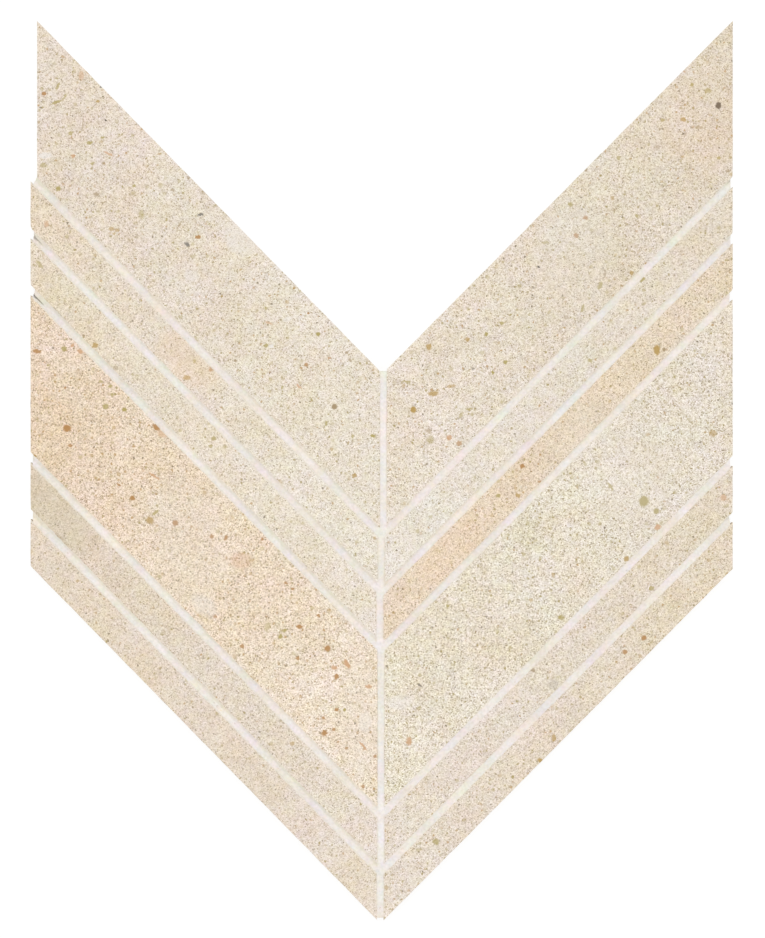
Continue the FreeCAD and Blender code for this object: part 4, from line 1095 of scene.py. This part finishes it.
class TILE_OT_fit_net(bpy.types.Operator):
    """Lays the glass-fibre net that holds the strips from behind"""

    bl_idname = "tile.fit_net"
    bl_label = "Fit the net"

    def execute(self, context):
        settings = context.scene.tile_settings
        low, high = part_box("backing_net")
        reach = high.x
        left, right = math.tan(settings.left_angle), math.tan(settings.right_angle)
        depth = high.y - low.y - reach * left
        sizes = {
            "Pitch": settings.net_pitch, "Strand Width": settings.strand_width,
            "Strand Height": (high.z - low.z) * 0.48, "Reach": reach, "Tip": low.y, "Depth": depth,
            "Left Slope": left, "Right Slope": right, "Wander": 0.5 * MM, "Seed": 5,
            "Fibre": dipped_glass_fibre(settings),
        }
        tree = laid_scrim()
        net = bpy.data.objects.new("glass_fibre_net", bpy.data.meshes.new("glass_fibre_net"))
        context.scene.collection.objects.link(net)
        layer = net.modifiers.new("laid scrim", "NODES")
        layer.node_group = tree
        for socket in tree.interface.items_tree:
            if socket.in_out == "INPUT":
                layer[socket.identifier] = sizes[socket.name]
        context.view_layer.update()
        evaluated = net.evaluated_get(context.evaluated_depsgraph_get())
        mesh = bpy.data.meshes.new_from_object(evaluated)
        net.modifiers.clear()
        net.data = mesh
        seat(net, "backing_net")
        return {"FINISHED"}


class TILE_OT_set_stage(bpy.types.Operator):
    """Lays a pale floor, sets soft light from the top of the sheet, and places the camera"""

    bl_idname = "tile.set_stage"
    bl_label = "Set the stage"

    def execute(self, context):
        scene = context.scene
        mesh = bpy.data.meshes.new("pale_floor")
        reach, level = 4.0, -0.02 * MM
        mesh.from_pydata([(-reach, -reach, level), (reach, -reach, level), (reach, reach, level),
                          (-reach, reach, level)], [], [(0, 1, 2, 3)])
        floor = bpy.data.objects.new("pale_floor", mesh)
        scene.collection.objects.link(floor)
        material, tree = finish_material("pale studio floor")
        path = add(tree, "ShaderNodeLightPath")
        seen = add(tree, "ShaderNodeMath", {0: path["Is Camera Ray"], 1: path["Is Glossy Ray"]},
                   operation="MAXIMUM")[0]
        seen = add(tree, "ShaderNodeMath", {0: seen, 1: path["Is Transmission Ray"]},
                   operation="MAXIMUM")[0]
        pale = add(tree, "ShaderNodeBsdfDiffuse", {0: rgba(linear("#EFEEEC"))})[0]
        thin = add(tree, "ShaderNodeBsdfDiffuse", {0: (0.2, 0.2, 0.2, 1.0)})[0]
        glow = add(tree, "ShaderNodeEmission", {0: (1.0, 1.0, 1.0, 1.0), 1: 0.85})[0]
        white = add(tree, "ShaderNodeAddShader", {0: thin, 1: glow})[0]
        surface = add(tree, "ShaderNodeMixShader", {0: seen, 1: pale, 2: white})[0]
        add(tree, "ShaderNodeOutputMaterial", {0: surface})
        mesh.materials.append(material)

        world = bpy.data.worlds.new("soft studio")
        scene.world = world
        world.use_nodes = True
        tree = world.node_tree
        tree.nodes.clear()
        path = add(tree, "ShaderNodeLightPath")
        seen = add(tree, "ShaderNodeMath", {0: path["Is Camera Ray"], 1: path["Is Glossy Ray"]},
                   operation="MAXIMUM")[0]
        strength = add(tree, "ShaderNodeMapRange", {0: seen, 3: 0.835, 4: 1.0})[0]
        sky = add(tree, "ShaderNodeBackground", {0: (1.0, 1.0, 1.0, 1.0), 1: strength})[0]
        add(tree, "ShaderNodeOutputWorld", {0: sky})

        sun = bpy.data.lights.new("window_light", "SUN")
        sun.energy = 0.55
        sun.angle = math.radians(24)
        lamp = bpy.data.objects.new("window_light", sun)
        lamp.rotation_euler = (math.radians(-24), 0.0, math.radians(4))
        scene.collection.objects.link(lamp)

        view = bpy.data.cameras.new("overhead_camera")
        view.sensor_width = SENSOR_MM
        view.lens = LENS_MM
        view.clip_start, view.clip_end = 0.01, 20.0
        camera = bpy.data.objects.new("overhead_camera", view)
        distance = PHOTO_HEIGHT_PX * MM_PER_PX * MM * LENS_MM / SENSOR_MM
        camera.location = (PHOTO_MIDDLE_MM[0] * MM, PHOTO_MIDDLE_MM[1] * MM, FACE_MM * MM + distance)
        scene.collection.objects.link(camera)
        scene.camera = camera
        scene.view_settings.view_transform = "Standard"
        return {"FINISHED"}


class TILE_PT_sheet(bpy.types.Panel):
    """Sizes, colours and the steps that make the sheet"""

    bl_label = "Chevron wall tile"
    bl_idname = "TILE_PT_sheet"
    bl_space_type = "VIEW_3D"
    bl_region_type = "UI"
    bl_category = "Tile"

    def draw(self, context):
        settings = context.scene.tile_settings
        for name in settings.bl_rna.properties.keys():
            if name not in ("rna_type", "name", "glazes"):
                self.layout.prop(settings, name)
        for look in settings.glazes:
            box = self.layout.box()
            box.label(text=look.name)
            for name in ("outer", "inner", "grain", "olive", "rust"):
                box.prop(look, name)
        for step in STEPS:
            self.layout.operator(step.bl_idname)


STEPS = (TILE_OT_make_strips, TILE_OT_lay_grout, TILE_OT_fit_net, TILE_OT_set_stage)
CLASSES = (GlazeLook, TileSettings, *STEPS, TILE_PT_sheet)


def register():
    for cls in CLASSES:
        bpy.utils.register_class(cls)
    bpy.types.Scene.tile_settings = bpy.props.PointerProperty(type=TileSettings)


def unregister():
    del bpy.types.Scene.tile_settings
    for cls in reversed(CLASSES):
        bpy.utils.unregister_class(cls)


def main():
    register()
    bpy.ops.tile.make_strips()
    bpy.ops.tile.lay_grout()
    bpy.ops.tile.fit_net()
    bpy.ops.tile.set_stage()


if __name__ == "__main__":
    main()
